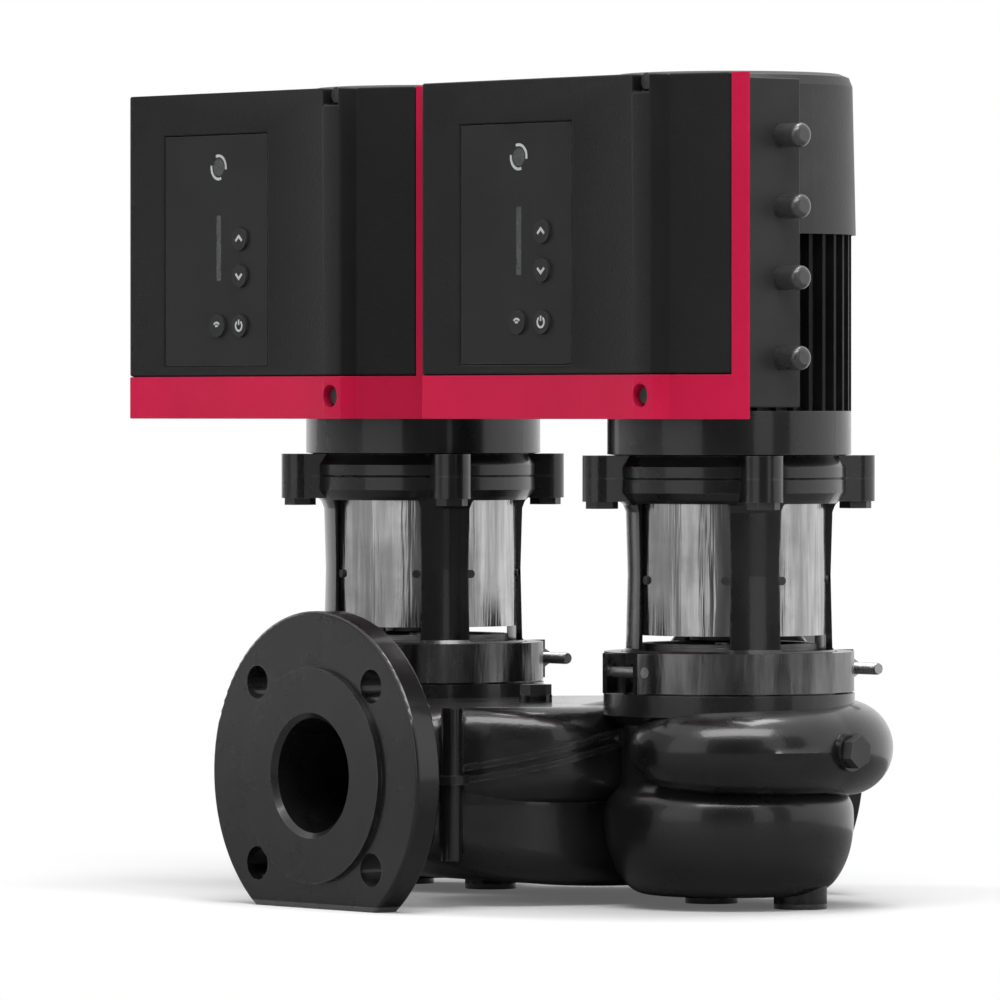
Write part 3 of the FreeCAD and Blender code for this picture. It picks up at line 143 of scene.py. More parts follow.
def makeMouldedGrain(mix):
    # fine even spark-eroded grain of a plastic tool, with a faint larger mottle
    inputs = {"Grains per metre": 1600.0, "Mottle per metre": 22.0}
    group, given, result = newGroup("mouldedGrain", inputs, ["Height", "Mottle"])
    place = objectPlace(group)
    fine = noiseNode(group, place, given.outputs["Grains per metre"], detail=1.0)
    coarseScale = mathNode(group, "MULTIPLY", given.outputs["Grains per metre"], mix["coarseStep"])
    coarse = noiseNode(group, place, coarseScale, detail=2.0)
    fine = mathNode(group, "MULTIPLY", fine, 1 - mix["coarseShare"])
    height = mathNode(group, "MULTIPLY_ADD", coarse, mix["coarseShare"], fine)
    mottle = noiseNode(group, place, given.outputs["Mottle per metre"], detail=4.0, roughness=0.6)
    group.links.new(height, result.inputs["Height"])
    group.links.new(stretchNode(group, mottle, *mix["mottleSpread"]), result.inputs["Mottle"])
    return group


castMix = {
    "pitStep": 0.55, "pitEdge": (0.04, 0.3), "pitPatches": 140.0, "pitBase": 0.2, "pitDepth": 0.3,
    "lumpShare": 0.55, "sandShare": 0.3, "mottlePerMetre": 14.0, "mottleSpread": (0.32, 0.68),
}


def makeCastSkin(mix):
    # sand-cast skin under paint: soft lumps, sand grain and a few small pits
    inputs = {"Lumps per metre": 90.0, "Grains per metre": 620.0, "Pit share": 0.16}
    group, given, result = newGroup("castSkin", inputs, ["Height", "Mottle"])
    place = objectPlace(group)
    lumps = noiseNode(group, place, given.outputs["Lumps per metre"], detail=3.0, roughness=0.55)
    sand = noiseNode(group, place, given.outputs["Grains per metre"], detail=3.0, roughness=0.62)
    cells = group.nodes.new("ShaderNodeTexVoronoi")
    group.links.new(place, cells.inputs["Vector"])
    pitScale = mathNode(group, "MULTIPLY", given.outputs["Grains per metre"], mix["pitStep"])
    group.links.new(pitScale, cells.inputs["Scale"])
    hole = mathNode(group, "SUBTRACT", 1.0, stretchNode(group, cells.outputs["Distance"], *mix["pitEdge"]))
    patches = noiseNode(group, place, mix["pitPatches"], detail=1.0)
    share = mathNode(group, "ADD", given.outputs["Pit share"], mix["pitBase"])
    chosen = mathNode(group, "LESS_THAN", patches, share)
    pits = mathNode(group, "MULTIPLY", hole, chosen)
    sand = mathNode(group, "MULTIPLY", sand, mix["sandShare"])
    skin = mathNode(group, "MULTIPLY_ADD", lumps, mix["lumpShare"], sand)
    group.links.new(mathNode(group, "MULTIPLY_ADD", pits, -mix["pitDepth"], skin), result.inputs["Height"])
    mottle = noiseNode(group, place, mix["mottlePerMetre"], detail=4.0, roughness=0.6)
    group.links.new(stretchNode(group, mottle, *mix["mottleSpread"]), result.inputs["Mottle"])
    return group


wearAndHighlightMix = {"samples": 4, "turned": (0.01, 0.16), "broken": (0.38, 0.66)}


def makeEdgeWear(mix):
    # mask of the edges, for worn paint and for a painted edge highlight: where a rounded copy of the surface
    # turns away from the real one, broken up by noise
    inputs = {"Edge width": 0.0012, "Breakup per metre": 160.0, "Amount": 0.5}
    group, given, result = newGroup("edgeWear", inputs, ["Wear"])
    rounded = group.nodes.new("ShaderNodeBevel")
    rounded.samples = mix["samples"]
    group.links.new(given.outputs["Edge width"], rounded.inputs["Radius"])
    surface = group.nodes.new("ShaderNodeNewGeometry")
    same = group.nodes.new("ShaderNodeVectorMath")
    same.operation = "DOT_PRODUCT"
    group.links.new(rounded.outputs["Normal"], same.inputs[0])
    group.links.new(surface.outputs["Normal"], same.inputs[1])
    turned = stretchNode(group, mathNode(group, "SUBTRACT", 1.0, same.outputs["Value"]), *mix["turned"])
    breakup = noiseNode(group, objectPlace(group), given.outputs["Breakup per metre"], detail=4.0,
                        roughness=0.65)
    broken = stretchNode(group, breakup, *mix["broken"])
    wearAndHighlight = mathNode(group, "MULTIPLY", mathNode(group, "MULTIPLY", turned, broken), given.outputs["Amount"])
    group.links.new(wearAndHighlight, result.inputs["Wear"])
    return group


dustMix = {"upward": (0.45, 1.0), "patches": (0.3, 0.75), "color": (0.22, 0.21, 0.2, 1), "dulling": 0.5}


def makeTopDust(mix):
    # thin dust on faces that look up, thicker in patches
    inputs = {"Amount": 0.2, "Patches per metre": 30.0}
    group, given, result = newGroup("topDust", inputs, ["Dust"])
    surface = group.nodes.new("ShaderNodeNewGeometry")
    split = group.nodes.new("ShaderNodeSeparateXYZ")
    group.links.new(surface.outputs["Normal"], split.inputs["Vector"])
    upward = stretchNode(group, split.outputs["Z"], *mix["upward"])
    cloud = noiseNode(group, objectPlace(group), given.outputs["Patches per metre"], detail=5.0,
                      roughness=0.65)
    patches = stretchNode(group, cloud, *mix["patches"])
    dust = mathNode(group, "MULTIPLY", mathNode(group, "MULTIPLY", upward, patches), given.outputs["Amount"])
    group.links.new(dust, result.inputs["Dust"])
    return group


lineAndBandMix = {"spread": (0.25, 0.75), "stainsPerMetre": 26.0, "stainSpread": (0.35, 0.7), "stainDulling": 0.3}


def makeToolLines(mix):
    # rolling, brushing or turning lines: noise drawn out along the directions with a small count per metre;
    # at a low count they become broad painted reflection bands
    inputs = {"Lines per metre": (40.0, 40.0, 2600.0)}
    group, given, result = newGroup("toolLines", inputs, ["Lines", "Stains"])
    place = objectPlace(group)
    drawn = group.nodes.new("ShaderNodeVectorMath")
    drawn.operation = "MULTIPLY"
    group.links.new(place, drawn.inputs[0])
    group.links.new(given.outputs["Lines per metre"], drawn.inputs[1])
    linesAndReflectionBands = noiseNode(group, drawn.outputs["Vector"], 1.0, detail=3.0, roughness=0.6)
    group.links.new(stretchNode(group, linesAndReflectionBands, *mix["spread"]), result.inputs["Lines"])
    stains = noiseNode(group, place, mix["stainsPerMetre"], detail=5.0, roughness=0.6)
    group.links.new(stretchNode(group, stains, *mix["stainSpread"]), result.inputs["Stains"])
    return group


groups = {
    "grain": makeMouldedGrain(grainMix),
    "cast": makeCastSkin(castMix),
    "wearAndHighlight": makeEdgeWear(wearAndHighlightMix),
    "dust": makeTopDust(dustMix),
    "linesAndReflectionBands": makeToolLines(lineAndBandMix),
}
print("surface effects ready")


def useGroup(tree, key, values):
    node = tree.nodes.new("ShaderNodeGroup")
    node.node_tree = groups[key]
    for label, value in values.items():
        node.inputs[label].default_value = value
    return node


def blendColors(tree, fac, first, second):
    node = tree.nodes.new("ShaderNodeMix")
    node.data_type = "RGBA"
    setSocket(tree, node.inputs["Factor"], fac)
    setSocket(tree, node.inputs["A"], first)
    setSocket(tree, node.inputs["B"], second)
    return node.outputs["Result"]


def spreadValue(tree, fac, low, high):
    return mathNode(tree, "MULTIPLY_ADD", fac, high - low, low)


def bumpNode(tree, height, distance):
    node = tree.nodes.new("ShaderNodeBump")
    node.inputs["Distance"].default_value = distance
    node.inputs["Strength"].default_value = 1.0
    tree.links.new(height, node.inputs["Height"])
    return node.outputs["Normal"]


def startMaterial(name, look):
    material = bpy.data.materials.new(name)
    material.use_nodes = True
    shader = material.node_tree.nodes["Principled BSDF"]
    shader.inputs["Coat Weight"].default_value = look.get("coat", 0.0)
    shader.inputs["Coat Roughness"].default_value = look.get("coatRoughness", 0.2)
    shader.inputs["Specular IOR Level"].default_value = look.get("specular", 0.5)
    return material, material.node_tree, shader


def coatedMaterial(name, look):
    # paint or moulded plastic: colour and gloss vary with the mottle, edges turn lighter for wear and as a
    # painted highlight, tops gather dust
    material, tree, shader = startMaterial(name, look)
    skin = useGroup(tree, look["skin"], look["skinSizes"])
    wearAndHighlight = useGroup(tree, "wearAndHighlight", look["wearAndHighlight"])
    dust = useGroup(tree, "dust", {"Amount": look["dust"]})
    color = blendColors(tree, skin.outputs["Mottle"], look["dark"], look["light"])
    # lighter edge colour: worn paint, and on the cast iron and the panels a painted edge highlight
    color = blendColors(tree, wearAndHighlight.outputs["Wear"], color, look["wornAndHighlightColor"])
    color = blendColors(tree, dust.outputs["Dust"], color, dustMix["color"])
    tree.links.new(color, shader.inputs["Base Color"])
    rough = spreadValue(tree, skin.outputs["Mottle"], look["gloss"][0], look["gloss"][1])
    rough = mathNode(tree, "MULTIPLY_ADD", dust.outputs["Dust"], dustMix["dulling"], rough)
    rough = mathNode(tree, "MULTIPLY_ADD", skin.outputs["Height"], look["glossGrain"], rough)
    tree.links.new(rough, shader.inputs["Roughness"])
    tree.links.new(bumpNode(tree, skin.outputs["Height"], look["grainDepth"]), shader.inputs["Normal"])
    return material


def bareMaterial(name, look):
    # bare metal: tool lines in the colour, the gloss and the height, which on the guards and the clamp are
    # broad painted reflection bands; stains and small dull patches in the colour; edges lighter for wear and
    # as a painted highlight
    material, tree, shader = startMaterial(name, look)
    shader.inputs["Metallic"].default_value = 1.0
    linesAndReflectionBands = useGroup(tree, "linesAndReflectionBands", {"Lines per metre": look["linesAndReflectionBandsPerMetre"]})
    wearAndHighlight = useGroup(tree, "wearAndHighlight", look["wearAndHighlight"])
    # light and dark colour along the lines; on the guards and the clamp these broad bands are painted
    # reflections
    color = blendColors(tree, linesAndReflectionBands.outputs["Lines"], look["dark"], look["light"])
    color = blendColors(tree, mathNode(tree, "MULTIPLY", linesAndReflectionBands.outputs["Stains"], look["stain"]), color,
                        look["stainColor"])
    # lighter edges: wear, and a painted edge highlight
    color = blendColors(tree, wearAndHighlight.outputs["Wear"], color, look["light"])
    tree.links.new(color, shader.inputs["Base Color"])
    rough = spreadValue(tree, linesAndReflectionBands.outputs["Lines"], look["gloss"][0], look["gloss"][1])
    dulling = look["stain"] * lineAndBandMix["stainDulling"]
    rough = mathNode(tree, "MULTIPLY_ADD", linesAndReflectionBands.outputs["Stains"], dulling, rough)
    tree.links.new(rough, shader.inputs["Roughness"])
    tree.links.new(bumpNode(tree, linesAndReflectionBands.outputs["Lines"], look["lineDepth"]), shader.inputs["Normal"])
    return material


# the lighter worn edges of the cast iron are partly wear and partly painted highlight lines on its rounded
# edges
castIronBlack = {
    "skin": "cast", "skinSizes": {"Lumps per metre": 70.0, "Grains per metre": 760.0, "Pit share": 0.1},
    "dark": (0.004, 0.004, 0.0043, 1), "light": (0.008, 0.008, 0.0084, 1),
    "gloss": (0.2, 0.3), "glossGrain": 0.08, "grainDepth": 0.0003, "specular": 0.42,
    "coat": 0.5, "coatRoughness": 0.1,
    "wearAndHighlight": {"Edge width": 0.0016, "Amount": 0.4}, "wornAndHighlightColor": (0.12, 0.115, 0.11, 1), "dust": 0.1,
}
motorBlack = {
    "skin": "cast", "skinSizes": {"Lumps per metre": 60.0, "Grains per metre": 1100.0, "Pit share": 0.05},
    "dark": (0.005, 0.005, 0.0052, 1), "light": (0.009, 0.009, 0.0093, 1),
    "gloss": (0.36, 0.46), "glossGrain": 0.1, "grainDepth": 0.0003, "specular": 0.15,
    "wearAndHighlight": {"Edge width": 0.001, "Amount": 0.25}, "wornAndHighlightColor": (0.1, 0.1, 0.1, 1), "dust": 0.12,
}
boxAluminium = {
    "skin": "cast", "skinSizes": {"Lumps per metre": 45.0, "Grains per metre": 1300.0, "Pit share": 0.04},
    "dark": (0.018, 0.018, 0.0185, 1), "light": (0.027, 0.027, 0.028, 1),
    "gloss": (0.36, 0.46), "glossGrain": 0.1, "grainDepth": 0.0003, "specular": 0.3,
    "wearAndHighlight": {"Edge width": 0.001, "Amount": 0.25}, "wornAndHighlightColor": (0.1, 0.1, 0.1, 1), "dust": 0.1,
}
cowlBlack = {
    "skin": "grain", "skinSizes": {"Grains per metre": 900.0, "Mottle per metre": 16.0},
    "dark": (0.032, 0.032, 0.034, 1), "light": (0.046, 0.046, 0.048, 1),
    "gloss": (0.34, 0.42), "glossGrain": 0.1, "grainDepth": 0.0002, "specular": 0.35,
    "wearAndHighlight": {"Edge width": 0.0009, "Amount": 0.3}, "wornAndHighlightColor": (0.14, 0.14, 0.14, 1), "dust": 0.14,
}
coverCharcoal = {
    "skin": "grain", "skinSizes": {"Grains per metre": 1500.0, "Mottle per metre": 12.0},
    "dark": (0.0075, 0.0075, 0.0079, 1), "light": (0.0105, 0.0105, 0.0109, 1),
    "gloss": (0.3, 0.38), "glossGrain": 0.12, "grainDepth": 0.0002, "specular": 0.18,
    "wearAndHighlight": {"Edge width": 0.0012, "Amount": 0.2}, "wornAndHighlightColor": (0.06, 0.06, 0.062, 1), "dust": 0.12,
}
frameCrimson = {
    "skin": "grain", "skinSizes": {"Grains per metre": 1500.0, "Mottle per metre": 12.0},
    "dark": (0.42, 0.006, 0.042, 1), "light": (0.48, 0.008, 0.05, 1),
    "gloss": (0.36, 0.44), "glossGrain": 0.12, "grainDepth": 0.00018, "specular": 0.12,
    "wearAndHighlight": {"Edge width": 0.0012, "Amount": 0.22}, "wornAndHighlightColor": (0.55, 0.1, 0.16, 1), "dust": 0.1,
}
# the lighter worn border of the panel is a painted highlight along its rounded edge
panelCharcoal = {
    "skin": "grain", "skinSizes": {"Grains per metre": 2600.0, "Mottle per metre": 20.0},
    "dark": (0.014, 0.014, 0.0145, 1), "light": (0.018, 0.018, 0.0185, 1),
    "gloss": (0.3, 0.36), "glossGrain": 0.1, "grainDepth": 0.00008, "specular": 0.16,
    "wearAndHighlight": {"Edge width": 0.0009, "Amount": 0.5}, "wornAndHighlightColor": (0.09, 0.09, 0.092, 1), "dust": 0.06,
}
buttonRubber = {
    "skin": "grain", "skinSizes": {"Grains per metre": 2000.0, "Mottle per metre": 90.0},
    "dark": (0.016, 0.016, 0.0165, 1), "light": (0.022, 0.022, 0.0225, 1),
    "gloss": (0.5, 0.6), "glossGrain": 0.1, "grainDepth": 0.0001, "specular": 0.3,
    "wearAndHighlight": {"Edge width": 0.0008, "Amount": 0.3}, "wornAndHighlightColor": (0.1, 0.1, 0.1, 1), "dust": 0.05,
}
lightLens = {
    "skin": "grain", "skinSizes": {"Grains per metre": 700.0, "Mottle per metre": 120.0},
    "dark": (0.036, 0.039, 0.039, 1), "light": (0.044, 0.048, 0.047, 1),
    "gloss": (0.2, 0.3), "glossGrain": 0.05, "grainDepth": 0.00005, "coat": 0.15, "coatRoughness": 0.1,
    "wearAndHighlight": {"Edge width": 0.0006, "Amount": 0.2}, "wornAndHighlightColor": (0.2, 0.22, 0.22, 1), "dust": 0.05,
}
plugPlastic = {
    "skin": "grain", "skinSizes": {"Grains per metre": 1200.0, "Mottle per metre": 60.0},
    "dark": (0.024, 0.024, 0.0245, 1), "light": (0.036, 0.036, 0.0365, 1),
    "gloss": (0.2, 0.28), "glossGrain": 0.1, "grainDepth": 0.0002, "coat": 0.6, "coatRoughness": 0.14,
    "wearAndHighlight": {"Edge width": 0.001, "Amount": 0.2}, "wornAndHighlightColor": (0.3, 0.3, 0.3, 1), "dust": 0.1,
}
blackOxide = {
    "skin": "grain", "skinSizes": {"Grains per metre": 1800.0, "Mottle per metre": 80.0},
    "dark": (0.012, 0.012, 0.013, 1), "light": (0.024, 0.024, 0.025, 1),
    "gloss": (0.34, 0.44), "glossGrain": 0.12, "grainDepth": 0.00015, "specular": 0.7,
    "wearAndHighlight": {"Edge width": 0.0006, "Amount": 0.5}, "wornAndHighlightColor": (0.14, 0.135, 0.13, 1), "dust": 0.06,
}
fanPlastic = {
    "skin": "grain", "skinSizes": {"Grains per metre": 1200.0, "Mottle per metre": 40.0},
    "dark": (0.03, 0.03, 0.03, 1), "light": (0.045, 0.045, 0.045, 1),
    "gloss": (0.45, 0.55), "glossGrain": 0.1, "grainDepth": 0.0002,
    "wearAndHighlight": {"Edge width": 0.0008, "Amount": 0.2}, "wornAndHighlightColor": (0.09, 0.09, 0.09, 1), "dust": 0.3,
}
markInk = {
    "skin": "grain", "skinSizes": {"Grains per metre": 1800.0, "Mottle per metre": 300.0},
    "dark": (0.34, 0.36, 0.36, 1), "light": (0.42, 0.44, 0.44, 1),
    "gloss": (0.35, 0.45), "glossGrain": 0.05, "grainDepth": 0.00004,
    "wearAndHighlight": {"Edge width": 0.0004, "Amount": 0.1}, "wornAndHighlightColor": (0.3, 0.3, 0.3, 1), "dust": 0.03,
}
# the broad vertical light and dark bands in the guard's colour are painted reflection streaks of polished
# sheet
guardSheet = {
    "linesAndReflectionBandsPerMetre": (150.0, 150.0, 9.0), "dark": (0.3, 0.3, 0.305, 1), "light": (0.62, 0.62, 0.625, 1),
    "gloss": (0.12, 0.2), "lineDepth": 0.0003, "stain": 0.35, "stainColor": (0.2, 0.2, 0.205, 1),
    "wearAndHighlight": {"Edge width": 0.0008, "Amount": 0.5},
}
# the clamp's dark colour with broad vertical light and dark bands is a painted reflection of a polished steel
# band
clampSteel = {
    "linesAndReflectionBandsPerMetre": (90.0, 90.0, 14.0), "dark": (0.07, 0.07, 0.072, 1), "light": (0.24, 0.24, 0.243, 1),
    "gloss": (0.18, 0.26), "lineDepth": 0.0002, "stain": 0.3, "stainColor": (0.06, 0.06, 0.061, 1),
    "wearAndHighlight": {"Edge width": 0.0008, "Amount": 0.6},
}
machinedIron = {
    "linesAndReflectionBandsPerMetre": (50.0, 50.0, 1800.0), "dark": (0.12, 0.12, 0.12, 1), "light": (0.24, 0.24, 0.24, 1),
    "gloss": (0.26, 0.42), "lineDepth": 0.00012, "stain": 0.5, "stainColor": (0.07, 0.065, 0.06, 1),
    "wearAndHighlight": {"Edge width": 0.0008, "Amount": 0.5},
}
turnedSteel = {
    "linesAndReflectionBandsPerMetre": (40.0, 40.0, 2600.0), "dark": (0.42, 0.42, 0.43, 1), "light": (0.62, 0.62, 0.63, 1),
    "gloss": (0.18, 0.32), "lineDepth": 0.00005, "stain": 0.2, "stainColor": (0.3, 0.29, 0.28, 1),
    "wearAndHighlight": {"Edge width": 0.0006, "Amount": 0.5},
}
zincPlate = {
    "linesAndReflectionBandsPerMetre": (700.0, 700.0, 700.0), "dark": (0.36, 0.36, 0.37, 1), "light": (0.55, 0.55, 0.56, 1),
    "gloss": (0.24, 0.4), "lineDepth": 0.00005, "stain": 0.35, "stainColor": (0.24, 0.23, 0.2, 1),
    "wearAndHighlight": {"Edge width": 0.0005, "Amount": 0.5},
}
sealCarbon = {
    "linesAndReflectionBandsPerMetre": (40.0, 40.0, 2000.0), "dark": (0.05, 0.05, 0.055, 1), "light": (0.1, 0.1, 0.11, 1),
    "gloss": (0.2, 0.35), "lineDepth": 0.00005, "stain": 0.3, "stainColor": (0.03, 0.03, 0.03, 1),
    "wearAndHighlight": {"Edge width": 0.0005, "Amount": 0.3},
}

finishOfSlot = {
    "cast_iron_black": coatedMaterial("castIronBlack", castIronBlack),
    "machined_iron": bareMaterial("machinedIron", machinedIron),
    "clamp_steel": bareMaterial("clampSteel", clampSteel),
    "seal_face": bareMaterial("sealCarbon", sealCarbon),
    "stainless": bareMaterial("pressedStainless", turnedSteel | {"linesAndReflectionBandsPerMetre": (300.0, 300.0, 300.0)}),
    "shaft_steel": bareMaterial("turnedSteel", turnedSteel),
    "coupling_iron": bareMaterial("couplingIron", machinedIron | {"light": (0.3, 0.3, 0.3, 1)}),
    "guard_sheet": bareMaterial("guardSheet", guardSheet),
    "motor_black": coatedMaterial("motorBlack", motorBlack),
    "fan_plastic": coatedMaterial("fanPlastic", fanPlastic),
    "cowl_black": coatedMaterial("cowlBlack", cowlBlack),
    "box_aluminium": coatedMaterial("boxAluminium", boxAluminium),
    "frame_crimson": coatedMaterial("frameCrimson", frameCrimson),
    "cover_charcoal": coatedMaterial("coverCharcoal", coverCharcoal),
    "panel_charcoal": coatedMaterial("panelCharcoal", panelCharcoal),
    "button_grey": coatedMaterial("buttonRubber", buttonRubber),
    "light_lens": coatedMaterial("lightLens", lightLens),
    "plug_plastic": coatedMaterial("plugPlastic", plugPlastic),
    "plug_iron": coatedMaterial("plugBlack", blackOxide),
    "bolt_steel": bareMaterial("zincPlate", zincPlate),
    "bolt_black": coatedMaterial("blackOxide", blackOxide),
}
markMaterial = coatedMaterial("markInk", markInk)

for node, part in nodes.items():
    part.data.materials.clear()
    part.data.materials.append(finishOfSlot[slotOfNode[node]])
# the guard screws are blackened, unlike the plated clamp bolts
nodes["guard_screws"].data.materials[0] = finishOfSlot["bolt_black"]
print("finishes laid on", len(nodes), "nodes")


def finishPiece(piece, body, slotName, material=None):
    # a piece wears its slot's finish, unless it is given one of its own
    piece.data.materials.clear()
    piece.data.materials.append(material or finishOfSlot[slotName])
    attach(piece, body)
    return piece


# mouldings and die castings with flat faces get their real rounded edges
roundedEdges = {
    "box_cover": {"piece": "CoverMoulding", "width": 0.0016},
    "box_frame": {"piece": "FrameMoulding", "width": 0.0012},
    "box_base": {"piece": "BaseCasting", "width": 0.0009},
}

edgeRounding = {"mergeWithin": 1e-5, "flatDeg": 0.5, "sharpDeg": 35, "segments": 2}


def roundEdges(node, pieceName, width):
    # merged copy of the node with its sharp edges replaced by small rounds
    mesh = nodes[node].data.copy()
    mesh.name = pieceName
    shape = bmesh.new()
    shape.from_mesh(mesh)
    bmesh.ops.remove_doubles(shape, verts=shape.verts, dist=edgeRounding["mergeWithin"])
    flat = math.radians(edgeRounding["flatDeg"])
    bmesh.ops.dissolve_limit(shape, angle_limit=flat, verts=shape.verts, edges=shape.edges)
    for face in shape.faces:
        face.smooth = True
    for edge in shape.edges:
        edge.smooth = True
    shape.to_mesh(mesh)
    shape.free()
    if mesh.has_custom_normals:
        mesh.attributes.remove(mesh.attributes["custom_normal"])
    piece = bpy.data.objects.new(pieceName, mesh)
    bpy.context.scene.collection.objects.link(piece)
    rounding = piece.modifiers.new("edgeRounding", "BEVEL")
    rounding.width = width
    rounding.segments = edgeRounding["segments"]
    rounding.limit_method = "ANGLE"
    rounding.angle_limit = math.radians(edgeRounding["sharpDeg"])
    rounding.harden_normals = True
    rounding.use_clamp_overlap = True
    finishPiece(piece, bodyOfNode[node], slotOfNode[node])
    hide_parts(node)
    return piece


for side in ("left", "right"):
    for part, look in roundedEdges.items():
        roundEdges(f"{side}_{part}", side + look["piece"], look["width"])
print("edges rounded")


def headAxis(side):
    # a head's upright axis runs through the middle of its stator housing
    low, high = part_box(f"{side}_stator_housing")
    return (low[0] + high[0]) / 2


headAcross = {side: headAxis(side) for side in ("left", "right")}


# surfaces built as grids of points
def gridPiece(name, points, capped=True):
    # points is an array rows x columns x 3; rows follow the path, columns go round the closed section
    rows, columns = points.shape[:2]
    here = np.arange(rows * columns).reshape(rows, columns)
    beside = np.roll(here, -1, axis=1)
    quads = np.stack([here[:-1], beside[:-1], beside[1:], here[1:]], axis=-1).reshape(-1, 4)
    faces = quads.tolist()
    if capped:
        faces.append(here[0][::-1].tolist())
        faces.append(here[-1].tolist())
    mesh = bpy.data.meshes.new(name)
    mesh.from_pydata(points.reshape(-1, 3).tolist(), [], faces)
    mesh.update()
    piece = bpy.data.objects.new(name, mesh)
    bpy.context.scene.collection.objects.link(piece)
    return piece


def rodThread(name, thread, start):
    # point(a, t) = start + t along X + r (cos a, sin a) across it,
    # with r = root + depth * |2 frac(t / pitch - a / turn) - 1|, faded to the root at both ends
    rows = int(thread["length"] / thread["pitch"] * thread["rowsPerTurn"]) + 1
    along = np.linspace(0, thread["length"], rows)[:, None]
    angle = np.linspace(0, 2 * np.pi, thread["around"], endpoint=False)[None, :]
    phase = (along / thread["pitch"] - angle / (2 * np.pi)) % 1
    depth = thread["depth"] * np.abs(2 * phase - 1)
    fade = np.clip(np.minimum(along, thread["length"] - along) / thread["pitch"], 0, 1)
    radius = thread["rootRadius"] + depth * fade
    points = np.stack([start[0] + along + 0 * angle, start[1] + radius * np.cos(angle),
                       start[2] + radius * np.sin(angle)], axis=-1)
    return gridPiece(name, points)


def smoothProfile(corners, count):
    # curve through all corners: each stretch is a cubic whose slope at a corner is half the step
    # between the corner's two neighbours, and past each end the neighbour is a mirrored one
    corners = np.array(corners)
    padded = np.concatenate([2 * corners[:1] - corners[1:2], corners, 2 * corners[-1:] - corners[-2:-1]])
    spot = np.linspace(0, len(corners) - 1, count)
    first = np.minimum(spot.astype(int), len(corners) - 2)
    t = (spot - first)[:, None]
    p0, p1, p2, p3 = (padded[first + step] for step in range(4))
    return 0.5 * (2 * p1 + (p2 - p0) * t + (2 * p0 - 5 * p1 + 4 * p2 - p3) * t ** 2
                  + (3 * p1 - p0 - 3 * p2 + p3) * t ** 3)


# smooth cast skin over each stepped suction bowl
bowlCasting = {
    "profile": [(0.0, 0.0077), (0.028, 0.0077), (0.0478, 0.0077), (0.0570, 0.0122), (0.0632, 0.0200),
                (0.0676, 0.0300), (0.0699, 0.0410), (0.0704, 0.0500), (0.0698, 0.0575), (0.0672, 0.0630),
                (0.0636, 0.0665), (0.0612, 0.0700), (0.0603, 0.0740), (0.0595, 0.0780)],
    "rows": 72, "columns": 144,
}


def bowlSkin(name, skin, across):
    # surface of revolution: point(s, a) = (across + r(s) cos a, r(s) sin a, z(s))
    curve = smoothProfile(skin["profile"], skin["rows"])[1:]
    angle = np.linspace(0, 2 * np.pi, skin["columns"], endpoint=False)[None, :]
    radius, height = curve[:, :1], curve[:, 1:]
    points = np.stack([across + radius * np.cos(angle), radius * np.sin(angle), height + 0 * angle], axis=-1)
    return gridPiece(name, points)


# the full spiral of the right volute, with the cast seam along its outside
voluteCasting = {
    "coreRadius": 0.039, "tubeHeight": 0.090, "cadTube": 0.028, "cadGrowthDeg": 45.0, "cadStartDeg": -80.0,
    "skinGap": 0.0004, "startDeg": -117.0, "endDeg": 96.0, "fullTube": 0.0247, "growthDeg": 23.0,
    "ownUntilDeg": 40.0, "endFadeDeg": 20.0, "rows": 150, "columns": 64,
    "seamDeg": (-28.0, -3.0), "seamHeight": 0.0016, "seamWidthDeg": 3.2, "seamFadeDeg": 6.0,
}


def voluteSkin(name, skin, across):
    # tube round the shaft line: with tube radius t(a) and seam ridge e(a, b), its point(a, b) is
    # (across + (core + t + (t + e) cos b) cos a, the same with sin a, height + (t + e) sin b)
    # t is full * (1 - exp(-run / growth)) or the solid's own tube plus skinGap, whichever is larger;
    # past ownUntilDeg it is the latter alone, which dips by skinGap under the solid at its end
    turn = np.linspace(skin["startDeg"], skin["endDeg"], skin["rows"])[:, None]
    run = np.clip(turn - skin["startDeg"], 0, None)
    cadRun = np.clip(turn - skin["cadStartDeg"], 0, None)
    own = skin["fullTube"] * (1 - np.exp(-run / skin["growthDeg"]))
    cast = skin["cadTube"] * (1 - np.exp(-cadRun / skin["cadGrowthDeg"]))
    ending = np.clip((skin["endDeg"] - turn) / skin["endFadeDeg"], 0, 1)
    covered = cast + skin["skinGap"] * (2 * ending - 1)
    tube = np.where(turn > skin["ownUntilDeg"], covered, np.maximum(own, covered))
    section = np.linspace(0, 2 * np.pi, skin["columns"], endpoint=False)[None, :]
    sectionDeg = np.degrees((section + np.pi) % (2 * np.pi) - np.pi)
    first, last = skin["seamDeg"]
    window = np.clip((turn - first) / skin["seamFadeDeg"], 0, 1)
    window = window * np.clip((last - turn) / skin["seamFadeDeg"], 0, 1)
    seam = skin["seamHeight"] * window * np.exp(-(sectionDeg / skin["seamWidthDeg"]) ** 2)
    reach = skin["coreRadius"] + tube + (tube + seam) * np.cos(section)
    angle = np.radians(turn)
    points = np.stack([across + reach * np.cos(angle), reach * np.sin(angle),
                       skin["tubeHeight"] + (tube + seam) * np.sin(section) + 0 * angle], axis=-1)
    return gridPiece(name, points[1:])


surfaceTidy = {"mergeWithin": 1e-6, "sharpDeg": 40}


def fixWinding(piece):
    # closes poles and seams by merging doubles, then turns every face outwards
    shape = bmesh.new()
    shape.from_mesh(piece.data)
    bmesh.ops.remove_doubles(shape, verts=shape.verts, dist=surfaceTidy["mergeWithin"])
    bmesh.ops.recalc_face_normals(shape, faces=shape.faces)
    shape.to_mesh(piece.data)
    shape.free()


def shadeSmooth(piece):
    piece.data.shade_smooth()
    piece.data.set_sharp_from_angle(angle=math.radians(surfaceTidy["sharpDeg"]))


